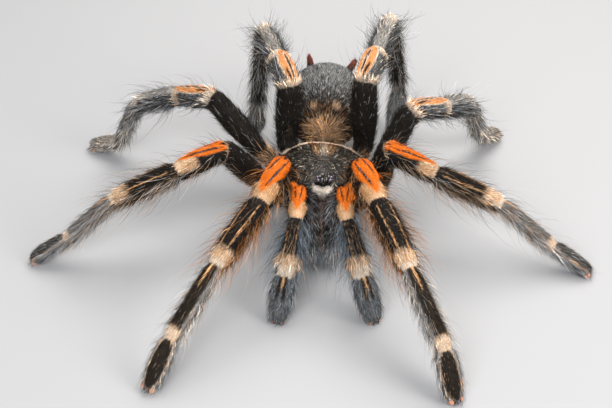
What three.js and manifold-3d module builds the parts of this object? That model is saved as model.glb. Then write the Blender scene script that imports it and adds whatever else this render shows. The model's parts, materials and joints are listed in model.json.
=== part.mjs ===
// A tarantula standing on its eight legs and two palps: a still, life-size model in named parts.
// Millimetres, +Z up. The animal faces -Y, its left side is +X, and it stands on z = 0.
// Every solid is the outline of the coat, so the hairs lie inside it.
import * as THREE from "three";
import { mergeVertices } from "three/addons/utils/BufferGeometryUtils.js";
import Module from "manifold-3d";

const wasm = await Module();
wasm.setup();

// ---- Driving dimensions -------------------------------------------------------------------

const GAP = 0.3; // left between parts that touch
const LIMB_SIDES = 8; // facets round a limb
const WAIST_SIDES = 12; // facets round the waist
// Facets round a rounded form, and along it.
const FACETS = {
  shield: [20, 10],
  tubercle: [10, 6],
  eye: [7, 4],
  sternum: [10, 5],
  abdomen: [20, 12],
  jaw: [10, 8],
  fang: [6, 6],
};
const FACET_TOLERANCE = 0.05; // facets closer than this to one plane are merged
const MERGE_DISTANCE = 1e-4; // corners closer than this are one corner
const POLE = 0.999; // a blunt form keeps its girth finite this close to its end
const FOOT_FLAT = 0.25; // depth by which each foot is flattened where it stands
const FOOT_TIP = 0.8; // how far a foot's blunt end reaches past its last joint

const CARAPACE = {
  halfLength: 10.7,
  halfWidth: 9.8,
  blunt: 2.4, // how square the front half is, where 2 is an ellipse
  rearBlunt: 2.2,
  rearFlatness: 1.0, // how much gentler than a ball's the slope to the rear margin is
  headNarrowing: 0.36, // how much narrower the front margin is than the middle
  marginHeight: 9.1,
  marginRise: 1.5, // the front margin above the rear one
  crown: 2.9, // the shield's rise over its margin
  headCrown: 1.1, // the further rise of the head region
  headAt: -5.2,
  headReach: 4.5,
  underside: 1.3,
  lean: 0.085, // how steeply the shield falls from its right side to its left
};
const TUBERCLE = { at: [0.35, -8.7, 12.65], half: [1.55, 1.0, 0.95] };
const STERNUM = { at: [0, -0.6, 6.3], half: [4.1, 6.6, 2.0] };
const ABDOMEN = {
  at: [0, 23.4, 10.8],
  half: [8.9, 12.1, 6.6],
  blunt: 2.7,
  rearSwell: 0.04, // how much wider the rear end is than the middle
  rearLift: 1.0, // how much higher it lies
};
const PEDICEL = { from: 9.6, to: 14, height: 7.9, radius: 1.7 };
const SPINNERET = {
  root: [2.7, 32.6, 10.2],
  length: 7.4,
  radii: [1.05, 1.1, 1.05, 0.85],
  azimuth: { right: -75, left: -50 },
  pitch: { right: 42, left: 35 },
};
const CHELICERA = { root: [2.0, -9.8, 9.2], half: [1.85, 7.7, 3.3], pitch: [6, -74], blunt: 2.9 };
const FANG = { root: [2.0, -20.6, 2.2], half: [0.5, 3.1, 0.62], pitch: [-164, -196], blunt: 2 };
const EYES = {
  front_middle: { at: [0.42, -0.74, 0.5], radius: 0.36 },
  front_side: { at: [1.2, -0.52, 0.24], radius: 0.36 },
  rear_middle: { at: [0.88, -0.02, 0.74], radius: 0.25 },
  rear_side: { at: [1.36, 0.2, 0.44], radius: 0.3 },
};
const EYE_SEAT = 0.06; // clearance round an eye in its seat

// Lengths between joints, from the trochanter out.
const LENGTHS = {
  leg_1: { femur: 16.5, patella: 10.4, tibia: 14.5, metatarsus: 14.2, tarsus: 9.0 },
  leg_2: { femur: 15.4, patella: 10.2, tibia: 14.0, metatarsus: 12.6, tarsus: 8.6 },
  leg_3: { femur: 15.4, patella: 9.2, tibia: 11.0, metatarsus: 13.0, tarsus: 8.4 },
  leg_4: { femur: 17.0, patella: 8.6, tibia: 14.8, metatarsus: 19.8, tarsus: 9.0 },
  palp: { femur: 12.6, patella: 8.4, tibia: 10.8, tarsus: 8.4 },
};

// Half-widths of each length at even steps from its near end to its far end, and how deep it
// is for its width.
const LEG_GIRTH = {
  coxa: { radii: [2.1, 2.3, 2.2], depth: 1.0 },
  femur: { radii: [2.2, 2.95, 2.6], depth: 1.05 },
  patella: { radii: [2.6, 2.9, 2.6], depth: 1.0 },
  tibia: { radii: [2.6, 2.8, 2.6, 2.3], depth: 1.0 },
  metatarsus: { radii: [2.1, 2.15, 2.1, 2.05], depth: 0.95 },
  tarsus: { radii: [2.05, 2.4, 2.4, 1.95], depth: 0.8, end: FOOT_TIP },
};
const PALP_GIRTH = {
  coxa: { radii: [1.6, 1.7, 1.6], depth: 1.0 },
  femur: { radii: [1.7, 2.2, 2.0], depth: 1.05 },
  patella: { radii: [2.0, 2.2, 2.0], depth: 1.0 },
  tibia: { radii: [2.0, 2.4, 2.55, 2.4], depth: 0.95 },
  tarsus: { radii: [2.4, 2.75, 2.65, 1.9], depth: 0.75, end: FOOT_TIP },
};
// How stout each part of a limb is beside those girths, from the coxa to the tarsus.
const STOUTNESS = {
  leg_1: [1, 1, 1, 1, 1, 1],
  leg_2: [0.96, 0.96, 0.96, 0.96, 0.96, 0.96],
  leg_3: [0.98, 0.98, 0.98, 0.98, 0.98, 0.98],
  leg_4: [1, 1.14, 1.1, 0.94, 0.94, 1],
  palp: [1, 1, 1, 1, 1],
};

// Where each coxa starts beside the sternum.
const COXA_START = {
  leg_1: [3.5, -4.4, 6.6],
  leg_2: [4.3, -1.7, 6.6],
  leg_3: [4.3, 1.5, 6.6],
  leg_4: [3.3, 4.6, 6.6],
  palp: [1.9, -6.6, 6.4],
};

// The stance. Each limb's trochanter lies out from the middle and along the body, and each
// length heads away from the side (0) towards the front (90) or the rear (-90) and pitches
// up (+) or down (-), in degrees.
const STANCE = {
  leg_1_right: {
    out: 7.7,
    along: -9.2,
    heading: [93, 71, 56, 56, 56],
    pitch: [59, -9, -24, -31, -45],
  },
  leg_1_left: {
    out: 7.7,
    along: -9.1,
    heading: [94, 73, 67, 63, 63],
    pitch: [59, -6, -19, -32, -60],
  },
  leg_2_right: {
    out: 11.2,
    along: -4.7,
    heading: [33, 36, 13, 6, 6],
    pitch: [53, -6, -21, -42, -32],
  },
  leg_2_left: {
    out: 10.3,
    along: -4.6,
    heading: [66, 19, 14, 19, 19],
    pitch: [70, -20, -19, -35, -28],
  },
  leg_3_right: {
    out: 12.7,
    along: 3.1,
    heading: [-23, -24, -21, -26, -26],
    pitch: [44, -10, -23, -62, -21],
  },
  leg_3_left: {
    out: 11.4,
    along: 2.2,
    heading: [-10, -32, -54, -53, -53],
    pitch: [67, -13, -20, -60, -24],
  },
  leg_4_right: {
    out: 7.8,
    along: 9.1,
    heading: [-63, -68, -75, 73, -80],
    pitch: [96, 20, -3, -71, -50],
  },
  leg_4_left: {
    out: 8.2,
    along: 8.9,
    heading: [-70, -71, -77, -45, 110],
    pitch: [90, 19, 3, -78, -66],
  },
  palp_right: {
    out: 4.7,
    along: -10.9,
    heading: [94, 89, 70, 68],
    pitch: [50, 0, -59, -60],
  },
  palp_left: {
    out: 4.7,
    along: -10.9,
    heading: [94, 87, 59, 57],
    pitch: [50, -1, -58, -58],
  },
};

const SIDES = { right: -1, left: 1 };
// The order in which neighbouring limbs take their place, where a later one gives way.
const LIMBS = ["leg_1", "leg_2", "leg_3", "leg_4", "palp"];

// ---- Materials ----------------------------------------------------------------------------

const COLOURS = {
  coat_black: { color: 0x1d1a19, roughness: 0.85 },
  coat_orange: { color: 0xc8692a, roughness: 0.8 },
  coat_brown: { color: 0x3a302b, roughness: 0.85 },
  coat_grey: { color: 0x4a4745, roughness: 0.9 },
  bare_skin: { color: 0x6b3f36, roughness: 0.6 },
  eye: { color: 0x0b0b12, roughness: 0.1 },
  fang: { color: 0x120d0c, roughness: 0.25 },
};

function material(name) {
  return new THREE.MeshStandardMaterial({ name, metalness: 0, ...COLOURS[name] });
}

// ---- Joining and cutting ------------------------------------------------------------------

function solidOf(geometry) {
  const bare = geometry.clone();
  bare.deleteAttribute("normal");
  bare.deleteAttribute("uv");
  const merged = mergeVertices(bare, MERGE_DISTANCE);
  return new wasm.Manifold(
    new wasm.Mesh({
      numProp: 3,
      vertProperties: merged.attributes.position.array,
      triVerts: new Uint32Array(merged.index.array),
    }),
  );
}

function largestBody(solid) {
  const bodies = solid.decompose();
  return bodies.reduce((a, b) => (b.volume() > a.volume() ? b : a));
}

// What is left of a solid beside neighbours that have already taken their place.
function giveWay(solid, neighbours) {
  const room = neighbours.reduce((rest, other) => rest.subtract(other), solid);
  return largestBody(room);
}

// Keeps the part of a solid beyond a plane through a point.
function keepBeyond(solid, point, normal, offset) {
  return solid.trimByPlane(normal.toArray(), normal.dot(point) + offset);
}

const body = new THREE.Group();

// Adds a solid as a named mesh, placed at its own anchor point.
function addPart(name, solid, materialName, anchor) {
  const { vertProperties, triVerts } = solid.simplify(FACET_TOLERANCE).getMesh();
  const geometry = new THREE.BufferGeometry();
  geometry.setAttribute("position", new THREE.BufferAttribute(new Float32Array(vertProperties), 3));
  geometry.setIndex(new THREE.BufferAttribute(new Uint32Array(triVerts), 1));
  geometry.translate(-anchor.x, -anchor.y, -anchor.z);
  geometry.computeVertexNormals();
  const mesh = new THREE.Mesh(geometry, material(materialName));
  mesh.name = name;
  mesh.position.copy(anchor);
  body.add(mesh);
}

// ---- Rounded forms ------------------------------------------------------------------------

// How wide a form with blunt ends is, beside a ball, at a place from -1 to 1 along it.
function bluntness(place, power) {
  const t = Math.min(Math.abs(place), POLE);
  return (1 - t ** power) ** (1 / power) / Math.sqrt(1 - t * t);
}

// A ball whose points are moved by a function of their place on the unit sphere.
function shapedBall([around, along], shape) {
  const geometry = new THREE.SphereGeometry(1, around, along).rotateX(Math.PI / 2);
  const place = geometry.attributes.position;
  for (let i = 0; i < place.count; i++) {
    const moved = shape(new THREE.Vector3().fromBufferAttribute(place, i));
    place.setXYZ(i, moved.x, moved.y, moved.z);
  }
  return solidOf(geometry);
}

function ellipsoid({ at, half }, facets, grow = 0) {
  return shapedBall(facets, (p) =>
    new THREE.Vector3(
      at[0] + p.x * (half[0] + grow),
      at[1] + p.y * (half[1] + grow),
      at[2] + p.z * (half[2] + grow),
    ),
  );
}

// A spindle that leaves its root at one pitch and bends evenly to another, in the plane
// through its root along Y.
function bentSpindle(side, form, facets, grow = 0) {
  const { root, half, pitch, blunt } = form;
  const [first, last] = pitch.map(THREE.MathUtils.degToRad);
  const length = 2 * half[1];
  const bend = (last - first) / length;
  return shapedBall(facets, (p) => {
    const s = half[1] - p.y * (half[1] + grow);
    const angle = first + bend * s;
    const forward = bend === 0 ? s * Math.cos(first) : (Math.sin(angle) - Math.sin(first)) / bend;
    const up = bend === 0 ? s * Math.sin(first) : (Math.cos(first) - Math.cos(angle)) / bend;
    const girth = bluntness(p.y, blunt);
    const lift = p.z * (half[2] + grow) * girth;
    return new THREE.Vector3(
      side * root[0] + p.x * (half[0] + grow) * girth,
      root[1] - forward + lift * Math.sin(angle),
      root[2] + up + lift * Math.cos(angle),
    );
  });
}

// ---- Limbs --------------------------------------------------------------------------------

function direction(side, heading, pitch) {
  const a = THREE.MathUtils.degToRad(heading);
  const b = THREE.MathUtils.degToRad(pitch);
  return new THREE.Vector3(side * Math.cos(a) * Math.cos(b), -Math.sin(a) * Math.cos(b), Math.sin(b));
}

// One length of a limb: a profile turned round its axis, with a dome at each end.
function limbLength(from, to, across, girth, stoutness, grow = 0) {
  const radii = girth.radii.map((r) => r * stoutness + grow);
  const length = from.distanceTo(to);
  const near = radii[0];
  const far = radii[radii.length - 1];
  const end = girth.end ?? far;
  const dome = Math.SQRT1_2;
  const profile = [new THREE.Vector2(0, -near), new THREE.Vector2(near * dome, -near * dome)];
  radii.forEach((r, i) => profile.push(new THREE.Vector2(r, (length * i) / (radii.length - 1))));
  profile.push(new THREE.Vector2(far * dome, length + end * dome), new THREE.Vector2(0, length + end));
  const geometry = new THREE.LatheGeometry(profile, LIMB_SIDES);
  geometry.scale(1, 1, girth.depth);
  const axis = new THREE.Vector3().subVectors(to, from).normalize();
  const turn = new THREE.Matrix4().makeBasis(across, axis, new THREE.Vector3().crossVectors(across, axis));
  geometry.applyMatrix4(turn).translate(from.x, from.y, from.z);
  return solidOf(geometry);
}

function girthOf(limb) {
  return limb === "palp" ? PALP_GIRTH : LEG_GIRTH;
}

// How high the last joint lies for the sloping foot's blunt end to dip into the floor.
function footHeight(limb, pitch) {
  const { radii, depth, end } = girthOf(limb).tarsus;
  const slope = THREE.MathUtils.degToRad(pitch);
  const halfDepth = radii[radii.length - 1] * depth * STOUTNESS[limb].at(-1);
  return Math.hypot(halfDepth * Math.cos(slope), end * Math.sin(slope)) - FOOT_FLAT;
}

// The joints of a limb in its stance, from the coxa's start to the foot.
function limbJoints(limb, side) {
  const { out, along, heading, pitch } = STANCE[`${limb}_${side}`];
  const headings = heading.map((h, i) => direction(SIDES[side], h, pitch[i]));
  const lengths = Object.values(LENGTHS[limb]);
  const joints = [new THREE.Vector3(SIDES[side] * out, along, 0)];
  headings.forEach((d, i) => joints.push(joints[i].clone().addScaledVector(d, lengths[i])));
  const lift = footHeight(limb, pitch[pitch.length - 1]) - joints[joints.length - 1].z;
  joints.forEach((joint) => (joint.z += lift));
  const [x, y, z] = COXA_START[limb];
  joints.unshift(new THREE.Vector3(SIDES[side] * x, y, z));
  return joints;
}

function limb(name, side) {
  const girth = girthOf(name);
  const parts = Object.keys(girth);
  const joints = limbJoints(name, side);
  const { heading } = STANCE[`${name}_${side}`];
  const across = parts.map((_, i) => direction(SIDES[side], heading[Math.max(i - 1, 0)] + 90, 0));
  const axes = parts.map((_, i) => new THREE.Vector3().subVectors(joints[i + 1], joints[i]).normalize());
  const make = (i, grow) =>
    limbLength(joints[i], joints[i + 1], across[i], girth[parts[i]], STOUTNESS[name][i], grow);
  // Trims a run of lengths where it meets the ones before and after it.
  const run = (first, last, grow = 0) => {
    let solid = make(first, grow);
    for (let i = first + 1; i <= last; i++) solid = solid.add(make(i, grow));
    if (first > 0) {
      const normal = axes[first - 1].clone().add(axes[first]).normalize();
      solid = keepBeyond(solid, joints[first], normal, GAP / 2 - grow);
    }
    if (last < parts.length - 1) {
      const normal = axes[last].clone().add(axes[last + 1]).normalize().negate();
      solid = keepBeyond(solid, joints[last + 1], normal, GAP / 2 - grow);
    }
    return solid;
  };
  return { joints, last: parts.length - 1, run };
}

// ---- Body ---------------------------------------------------------------------------------

function carapace(grow = 0) {
  const c = CARAPACE;
  return shapedBall(FACETS.shield, (p) => {
    const front = Math.max(0, -p.y);
    const squareness = bluntness(p.y, p.y < 0 ? c.blunt : c.rearBlunt);
    const narrowing = (1 - c.headNarrowing * front * front) * squareness;
    const y = p.y * (c.halfLength + grow);
    const head = c.headCrown * Math.exp(-(((y - c.headAt) / c.headReach) ** 2));
    const margin = c.marginHeight + c.marginRise * front ** 2;
    const high = Math.max(0, p.z) ** (1 + c.rearFlatness * THREE.MathUtils.smoothstep(p.y, -0.4, 0.4));
    const rise = high * (c.crown + head * high) + p.z * grow + Math.min(0, p.z) * c.underside;
    const x = p.x * (c.halfWidth + grow) * narrowing;
    return new THREE.Vector3(x, y, margin + rise - c.lean * x);
  });
}

function abdomen(grow = 0) {
  const { at, half, blunt, rearSwell, rearLift } = ABDOMEN;
  return shapedBall(FACETS.abdomen, (p) => {
    const girth = (1 + rearSwell * p.y) * bluntness(p.y, blunt);
    return new THREE.Vector3(
      at[0] + p.x * (half[0] + grow) * girth,
      at[1] + p.y * (half[1] + grow),
      at[2] + p.z * (half[2] + grow) * girth + rearLift * p.y,
    );
  });
}

// The shield with the mound that carries the eyes.
function shieldWithMound(grow = 0) {
  return carapace(grow).add(ellipsoid(TUBERCLE, FACETS.tubercle, grow));
}

const shieldRoom = carapace(GAP);
addPart("carapace", shieldWithMound(), "coat_black", new THREE.Vector3(0, 0, CARAPACE.marginHeight));

const plate = giveWay(ellipsoid(STERNUM, FACETS.sternum), [shieldRoom]);
const plateRoom = ellipsoid(STERNUM, FACETS.sternum, GAP);
addPart("sternum", plate, "coat_black", new THREE.Vector3(...STERNUM.at));

addPart("abdomen", abdomen(), "coat_grey", new THREE.Vector3(...ABDOMEN.at));

function pedicel() {
  const { from, to, height, radius } = PEDICEL;
  const waist = new THREE.CylinderGeometry(radius, radius, to - from, WAIST_SIDES);
  waist.translate(0, (from + to) / 2, height);
  return giveWay(solidOf(waist), [shieldRoom, abdomen(GAP), plateRoom]);
}
addPart("pedicel", pedicel(), "bare_skin", new THREE.Vector3(0, PEDICEL.from, PEDICEL.height));

const eyeSeat = shieldWithMound(EYE_SEAT);
for (const [place, { at, radius }] of Object.entries(EYES)) {
  for (const [side, sign] of Object.entries(SIDES)) {
    const centre = [0, 1, 2].map((k) => TUBERCLE.at[k] + at[k] * (k === 0 ? sign : 1));
    const lens = { at: centre, half: [radius, radius, radius] };
    const ball = giveWay(ellipsoid(lens, FACETS.eye), [eyeSeat]);
    addPart(`eye_${place}_${side}`, ball, "eye", new THREE.Vector3(...centre));
  }
}

for (const [side, sign] of Object.entries(SIDES)) {
  const mirrored = ([x, y, z]) => [sign * x, y, z];

  const { root, length, radii, azimuth, pitch } = SPINNERET;
  const start = new THREE.Vector3(...mirrored(root));
  const end = start.clone().addScaledVector(direction(sign, azimuth[side], pitch[side]), length);
  const across = direction(sign, azimuth[side] + 90, 0);
  const thread = limbLength(start, end, across, { radii, depth: 1 }, 1);
  addPart(`spinneret_${side}`, giveWay(thread, [abdomen(GAP)]), "bare_skin", start);

  const fang = (grow) => bentSpindle(sign, FANG, FACETS.fang, grow);
  addPart(`fang_${side}`, fang(0), "fang", new THREE.Vector3(...mirrored(FANG.root)));
  const jaw = (grow) => bentSpindle(sign, CHELICERA, FACETS.jaw, grow);
  const chelicera = giveWay(jaw(0), [shieldRoom, plateRoom, fang(GAP)]);
  addPart(`chelicera_${side}`, chelicera, "coat_black", new THREE.Vector3(...mirrored(CHELICERA.root)));

  const taken = [shieldRoom, plateRoom, jaw(GAP)];
  for (const name of LIMBS) {
    const { joints, last, run } = limb(name, side);
    const partName = (piece) => `${name}_${side}_${piece}`;
    addPart(partName("coxa"), giveWay(run(0, 0), taken), "coat_brown", joints[0]);
    addPart(partName("femur"), giveWay(run(1, 1), taken), "coat_black", joints[1]);
    taken.push(run(0, 0, GAP), run(1, 1, GAP));
    addPart(partName("patella_tibia"), run(2, 3), "coat_orange", joints[2]);
    const foot = keepBeyond(run(4, last), new THREE.Vector3(), new THREE.Vector3(0, 0, 1), 0);
    addPart(partName(name === "palp" ? "tarsus" : "metatarsus_tarsus"), foot, "coat_black", joints[4]);
  }
}

// ---- Placing ------------------------------------------------------------------------------

// The origin is on the floor, under the middle of the whole model.
const box = new THREE.Box3().setFromObject(body, true);
const middle = box.getCenter(new THREE.Vector3());
body.position.set(-middle.x, -middle.y, -box.min.z);

const tarantula = new THREE.Group();
tarantula.add(body);

export default tarantula;
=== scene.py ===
"""Finishes a still, life-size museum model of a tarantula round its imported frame."""

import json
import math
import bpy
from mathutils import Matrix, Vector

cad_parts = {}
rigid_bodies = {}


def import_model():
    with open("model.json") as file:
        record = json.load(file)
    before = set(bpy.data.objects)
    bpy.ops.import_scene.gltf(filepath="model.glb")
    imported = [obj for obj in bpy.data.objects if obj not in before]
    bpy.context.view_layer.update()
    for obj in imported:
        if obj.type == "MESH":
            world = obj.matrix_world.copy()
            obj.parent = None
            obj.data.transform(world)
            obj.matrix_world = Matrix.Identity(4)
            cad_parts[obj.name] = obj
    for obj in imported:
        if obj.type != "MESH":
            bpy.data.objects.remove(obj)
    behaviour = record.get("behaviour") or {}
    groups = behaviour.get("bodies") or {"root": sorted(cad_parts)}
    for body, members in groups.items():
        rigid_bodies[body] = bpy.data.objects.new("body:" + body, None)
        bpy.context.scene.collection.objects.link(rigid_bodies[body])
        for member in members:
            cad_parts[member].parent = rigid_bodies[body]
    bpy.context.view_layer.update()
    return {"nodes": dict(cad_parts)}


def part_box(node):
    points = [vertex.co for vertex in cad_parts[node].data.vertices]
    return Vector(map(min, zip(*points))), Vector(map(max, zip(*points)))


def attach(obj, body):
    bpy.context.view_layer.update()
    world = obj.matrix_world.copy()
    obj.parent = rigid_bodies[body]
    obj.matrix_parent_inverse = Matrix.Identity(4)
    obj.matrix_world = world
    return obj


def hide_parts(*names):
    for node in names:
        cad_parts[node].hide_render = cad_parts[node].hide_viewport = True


bl_info = {
    "name": "Tarantula finish",
    "version": (1, 0, 0),
    "blender": (4, 5, 0),
    "location": "3D View > Sidebar > Tarantula",
    "description": "Skin, shield, eyes, fangs, feet and coat of a still tarantula",
    "category": "Object",
}

from contextlib import contextmanager
from types import SimpleNamespace

import bpy
import numpy as np
from mathutils import Matrix, Vector
from mathutils.bvhtree import BVHTree

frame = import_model()

MM = 0.001
UP = np.array((0.0, 0.0, 1.0))
SIDES = ("right", "left")
LIMB_KINDS = ("leg_1", "leg_2", "leg_3", "leg_4", "palp")
PALP = 4
COXA, FEMUR, PATELLA, TIBIA, METATARSUS, TARSUS = range(6)
# How much of each knee and shin the knee takes, and of each foot the metatarsus.
KNEE_SHARE = (0.418, 0.421, 0.455, 0.3675, 0.4375)
METATARSUS_SHARE = (0.612, 0.594, 0.607, 0.6875, 0.0)
# How many sections each node of a limb is measured at, and how thin its tip is.
SECTIONS = (2, 5, 9, 9)
TIP_SHARE = 0.8
LIMB, SHIELD, STERNUM, ABDOMEN, PEDICEL, JAW, SPINNERET = range(7)
BODY_PARTS = {
    "carapace": SHIELD,
    "sternum": STERNUM,
    "abdomen": ABDOMEN,
    "pedicel": PEDICEL,
    "chelicera_right": JAW,
    "chelicera_left": JAW,
    "spinneret_right": SPINNERET,
    "spinneret_left": SPINNERET,
}
NEEDED_LAYERS = ("position", ".edge_verts", ".corner_vert", ".corner_edge", "sharp_face")
EYES = ("front_middle", "front_side", "rear_middle", "rear_side")


# ---------------------------------------------------------------- measuring the frame


def unit(v):
    return v / np.maximum(np.linalg.norm(v, axis=-1, keepdims=True), 1e-12)


def dot(a, b):
    return np.sum(a * b, axis=-1)


def rising(x, low, high):
    """A smooth step from 0 at low to 1 at high."""
    t = np.clip((x - low) / (high - low), 0, 1)
    return t * t * (3 - 2 * t)


def falling(x, low, high):
    return 1 - rising(x, low, high)


def numbers(items, name, kind=np.float32, width=1):
    found = np.empty(len(items) * width, kind)
    items.foreach_get(name, found)
    return found.reshape(-1, width) if width > 1 else found


def places_of(mesh):
    return numbers(mesh.vertices, "co", width=3).astype(float)


def normals_of(mesh):
    return numbers(mesh.vertex_normals, "vector", width=3).astype(float)


def move(mesh, places):
    mesh.vertices.foreach_set("co", places.astype(np.float32).ravel())
    mesh.update()


def tree_of(triangles):
    """A tree of triangles, for finding the nearest of them or where a ray meets them."""
    places = triangles.reshape(-1, 3)
    return BVHTree.FromPolygons(places.tolist(), np.arange(len(places)).reshape(-1, 3).tolist())


def corners(mesh):
    """The three corners of every triangle of a mesh, and the indices of its vertices."""
    mesh.calc_loop_triangles()
    index = numbers(mesh.loop_triangles, "vertices", np.int32, 3)
    return places_of(mesh)[index], index


NODE_CORNERS = {n: corners(o.data)[0] for n, o in frame["nodes"].items()}


def box_middle(node):
    low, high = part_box(node)
    return np.array((low + high) / 2), np.array((high - low) / 2)


def section(triangles, point, normal):
    """The middle and mean radius of a cut through a closed shape."""
    away = (triangles - point) @ normal
    after = np.roll(triangles, -1, axis=1)
    away_after = np.roll(away, -1, axis=1)
    crossed = away * away_after < 0
    share = away / np.where(crossed, away - away_after, 1.0)
    cuts = triangles + (after - triangles) * share[..., None]
    both = crossed.sum(1) == 2
    edges = cuts[both][crossed[both]].reshape(-1, 2, 3)
    length = np.linalg.norm(edges[:, 1] - edges[:, 0], axis=1)
    middles = edges.mean(1)
    centre = (middles * length[:, None]).sum(0) / length.sum()
    radius = (np.linalg.norm(middles - centre, axis=1) * length).sum() / length.sum()
    return centre, radius


def meeting_point(node, other, reach=1.0 * MM):
    """The middle of the gap where two neighbouring nodes face each other."""
    a = NODE_CORNERS[node].reshape(-1, 3)
    b = NODE_CORNERS[other].reshape(-1, 3)
    gap = np.linalg.norm(a[:, None] - b[None], axis=2)
    return (a[gap.min(1) < reach].mean(0) + b[gap.min(0) < reach].mean(0)) / 2


def far_end(node, start, reach=0.6 * MM):
    """The middle of a node's end that lies furthest from start."""
    places = NODE_CORNERS[node].reshape(-1, 3)
    away = np.linalg.norm(places - start, axis=1)
    return places[away > away.max() - reach].mean(0)


def line_through(node, start, end, count):
    """The centre line of a node from start to end, through the middles of its sections."""
    triangles = NODE_CORNERS[node]
    shares = np.linspace(0, 1, count + 2)[1:-1]
    line = start + (end - start) * shares[:, None]
    for _ in range(2):
        whole = np.vstack((start, line, end))
        ways = unit(whole[2:] - whole[:-2])
        line = np.array([section(triangles, p, w)[0] for p, w in zip(line, ways)])
    radii = [section(triangles, p, w)[1] for p, w in zip(line, ways)]
    return line, radii


def measure_limb(kind, side):
    """A limb's centre line from its hip to its tip, its radii, and where its segments end."""
    name = f"{LIMB_KINDS[kind]}_{side}"
    last = "tarsus" if kind == PALP else "metatarsus_tarsus"
    nodes = [f"{name}_{n}" for n in ("coxa", "femur", "patella_tibia", last)]
    joints = [meeting_point(a, b) for a, b in zip(nodes, nodes[1:])]
    joints = [far_end(nodes[0], joints[0]), *joints, far_end(nodes[3], joints[-1])]
    points, radii, ends = [joints[0]], [], []
    for node, start, end, count in zip(nodes, joints, joints[1:], SECTIONS):
        line, found = line_through(node, start, end, count)
        points += [*line, end]
        radii += [found[0], *found]
        ends.append(len(points) - 1)
    radii.append(radii[-1] * TIP_SHARE)
    points = np.array(points)
    steps = np.linalg.norm(np.diff(points, axis=0), axis=1)
    along = np.concatenate(([0], np.cumsum(steps)))
    hip, thigh, shin, foot = along[ends]
    knee = thigh + (shin - thigh) * KNEE_SHARE[kind]
    ankle = shin + (foot - shin) * METATARSUS_SHARE[kind]
    heading = points[-1] - joints[2]
    heading[2] = 0
    ways = np.vstack((points[1] - points[0], points[2:] - points[:-2], points[-1] - points[-2]))
    return SimpleNamespace(
        name=name,
        kind=kind,
        inward=1 if side == "right" else -1,
        nodes=nodes,
        points=points,
        radii=np.array(radii),
        along=along,
        bounds=np.array((0, hip, thigh, knee, shin, ankle, foot)),
        node_ends=[0, *ends],
        ways=unit(ways),
        across=unit(np.cross(UP, unit(heading))),
    )


LIMBS = [measure_limb(k, s) for s in SIDES for k in range(len(LIMB_KINDS))]
LIMB_OF_NODE = {n: (i, j) for i, m in enumerate(LIMBS) for j, n in enumerate(m.nodes)}
FLESH = [n for n in frame["nodes"] if not n.startswith(("eye_", "fang_", "carapace"))]
COATED = sorted([*FLESH, "carapace"])
CENTRE, SHIELD_HALF = box_middle("carapace")
ABDOMEN_MIDDLE, ABDOMEN_HALF = box_middle("abdomen")
JAW_TOP = max(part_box(f"chelicera_{s}")[1].z for s in SIDES)
JAW_FOOT = min(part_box(f"chelicera_{s}")[0].z for s in SIDES)


def nearest_nodes(places):
    """For each place, the index in COATED of the node that it belongs to."""
    owners = np.repeat(np.arange(len(COATED)), [len(NODE_CORNERS[n]) for n in COATED])
    tree = tree_of(np.concatenate([NODE_CORNERS[n] for n in COATED]))
    return owners[[tree.find_nearest(p)[2] for p in places.tolist()]]


def locate(places, normals, owners):
    """Where each place is on the animal: its part and segment, the share t along it, the
    turn from its back in degrees, the way its hair lies, and its place on the bake map."""
    count = len(places)
    spot = SimpleNamespace(
        co=places,
        normal=normals,
        part=np.zeros(count, int),
        kind=np.full(count, -1),
        segment=np.full(count, -1),
        t=np.zeros(count),
        turn=np.zeros(count),
        lie=np.zeros((count, 3)),
        map=np.zeros((count, 2)),
    )
    for index, node in enumerate(COATED):
        chosen = np.flatnonzero(owners == index)
        if not len(chosen):
            continue
        if node in LIMB_OF_NODE:
            locate_on_limb(spot, chosen, *LIMB_OF_NODE[node])
        else:
            locate_on_body(spot, chosen, node)
    return spot


def locate_on_limb(spot, chosen, limb_index, node_index):
    limb = LIMBS[limb_index]
    first, last = limb.node_ends[node_index], limb.node_ends[node_index + 1]
    start, end = limb.points[first:last], limb.points[first + 1 : last + 1]
    places = spot.co[chosen]
    step = end - start
    share = dot(places[:, None] - start, step) / dot(step, step)
    share = np.clip(share, 0, 1)
    feet = start + step * share[..., None]
    which = np.linalg.norm(places[:, None] - feet, axis=2).argmin(1)
    rows = np.arange(len(chosen))
    share, feet, at = share[rows, which], feet[rows, which], which + first
    way = unit(limb.ways[at] * (1 - share)[:, None] + limb.ways[at + 1] * share[:, None])
    across = unit(limb.across - way * dot(way, limb.across)[:, None])
    back = np.cross(way, across)
    away = places - feet
    run = limb.along[at] + (limb.along[at + 1] - limb.along[at]) * share
    run = run + beyond_bend(places - limb.points[first], limb, first, first)
    run = run - beyond_bend(limb.points[last] - places, limb, last - 1, last)
    segment = np.clip(np.searchsorted(limb.bounds, run, side="right") - 1, 0, TARSUS)
    segment = np.where((limb.kind == PALP) & (segment == METATARSUS), TARSUS, segment)
    low, high = limb.bounds[segment], limb.bounds[segment + 1]
    turn = np.degrees(np.arctan2(dot(away, across) * limb.inward, dot(away, back)))
    for name, values in {
        "part": LIMB,
        "kind": limb.kind,
        "segment": segment,
        "t": np.clip((run - low) / (high - low), 0, 1),
        "turn": turn,
        "lie": way,
        "map": np.stack((turn / 360 + 0.5, run / limb.along[-1]), 1),
    }.items():
        getattr(spot, name)[chosen] = values


def beyond_bend(away, limb, step, joint):
    """How far past the centre line's own measure the outside of a bent end lies."""
    axis = unit(limb.points[step + 1] - limb.points[step])
    plain, mitred = away @ axis, away @ limb.ways[joint]
    extra = np.where(plain < 0, mitred, mitred - plain)
    return np.maximum(extra, 0) * np.exp(-np.maximum(plain, 0) / BEND_REACH)


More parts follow.
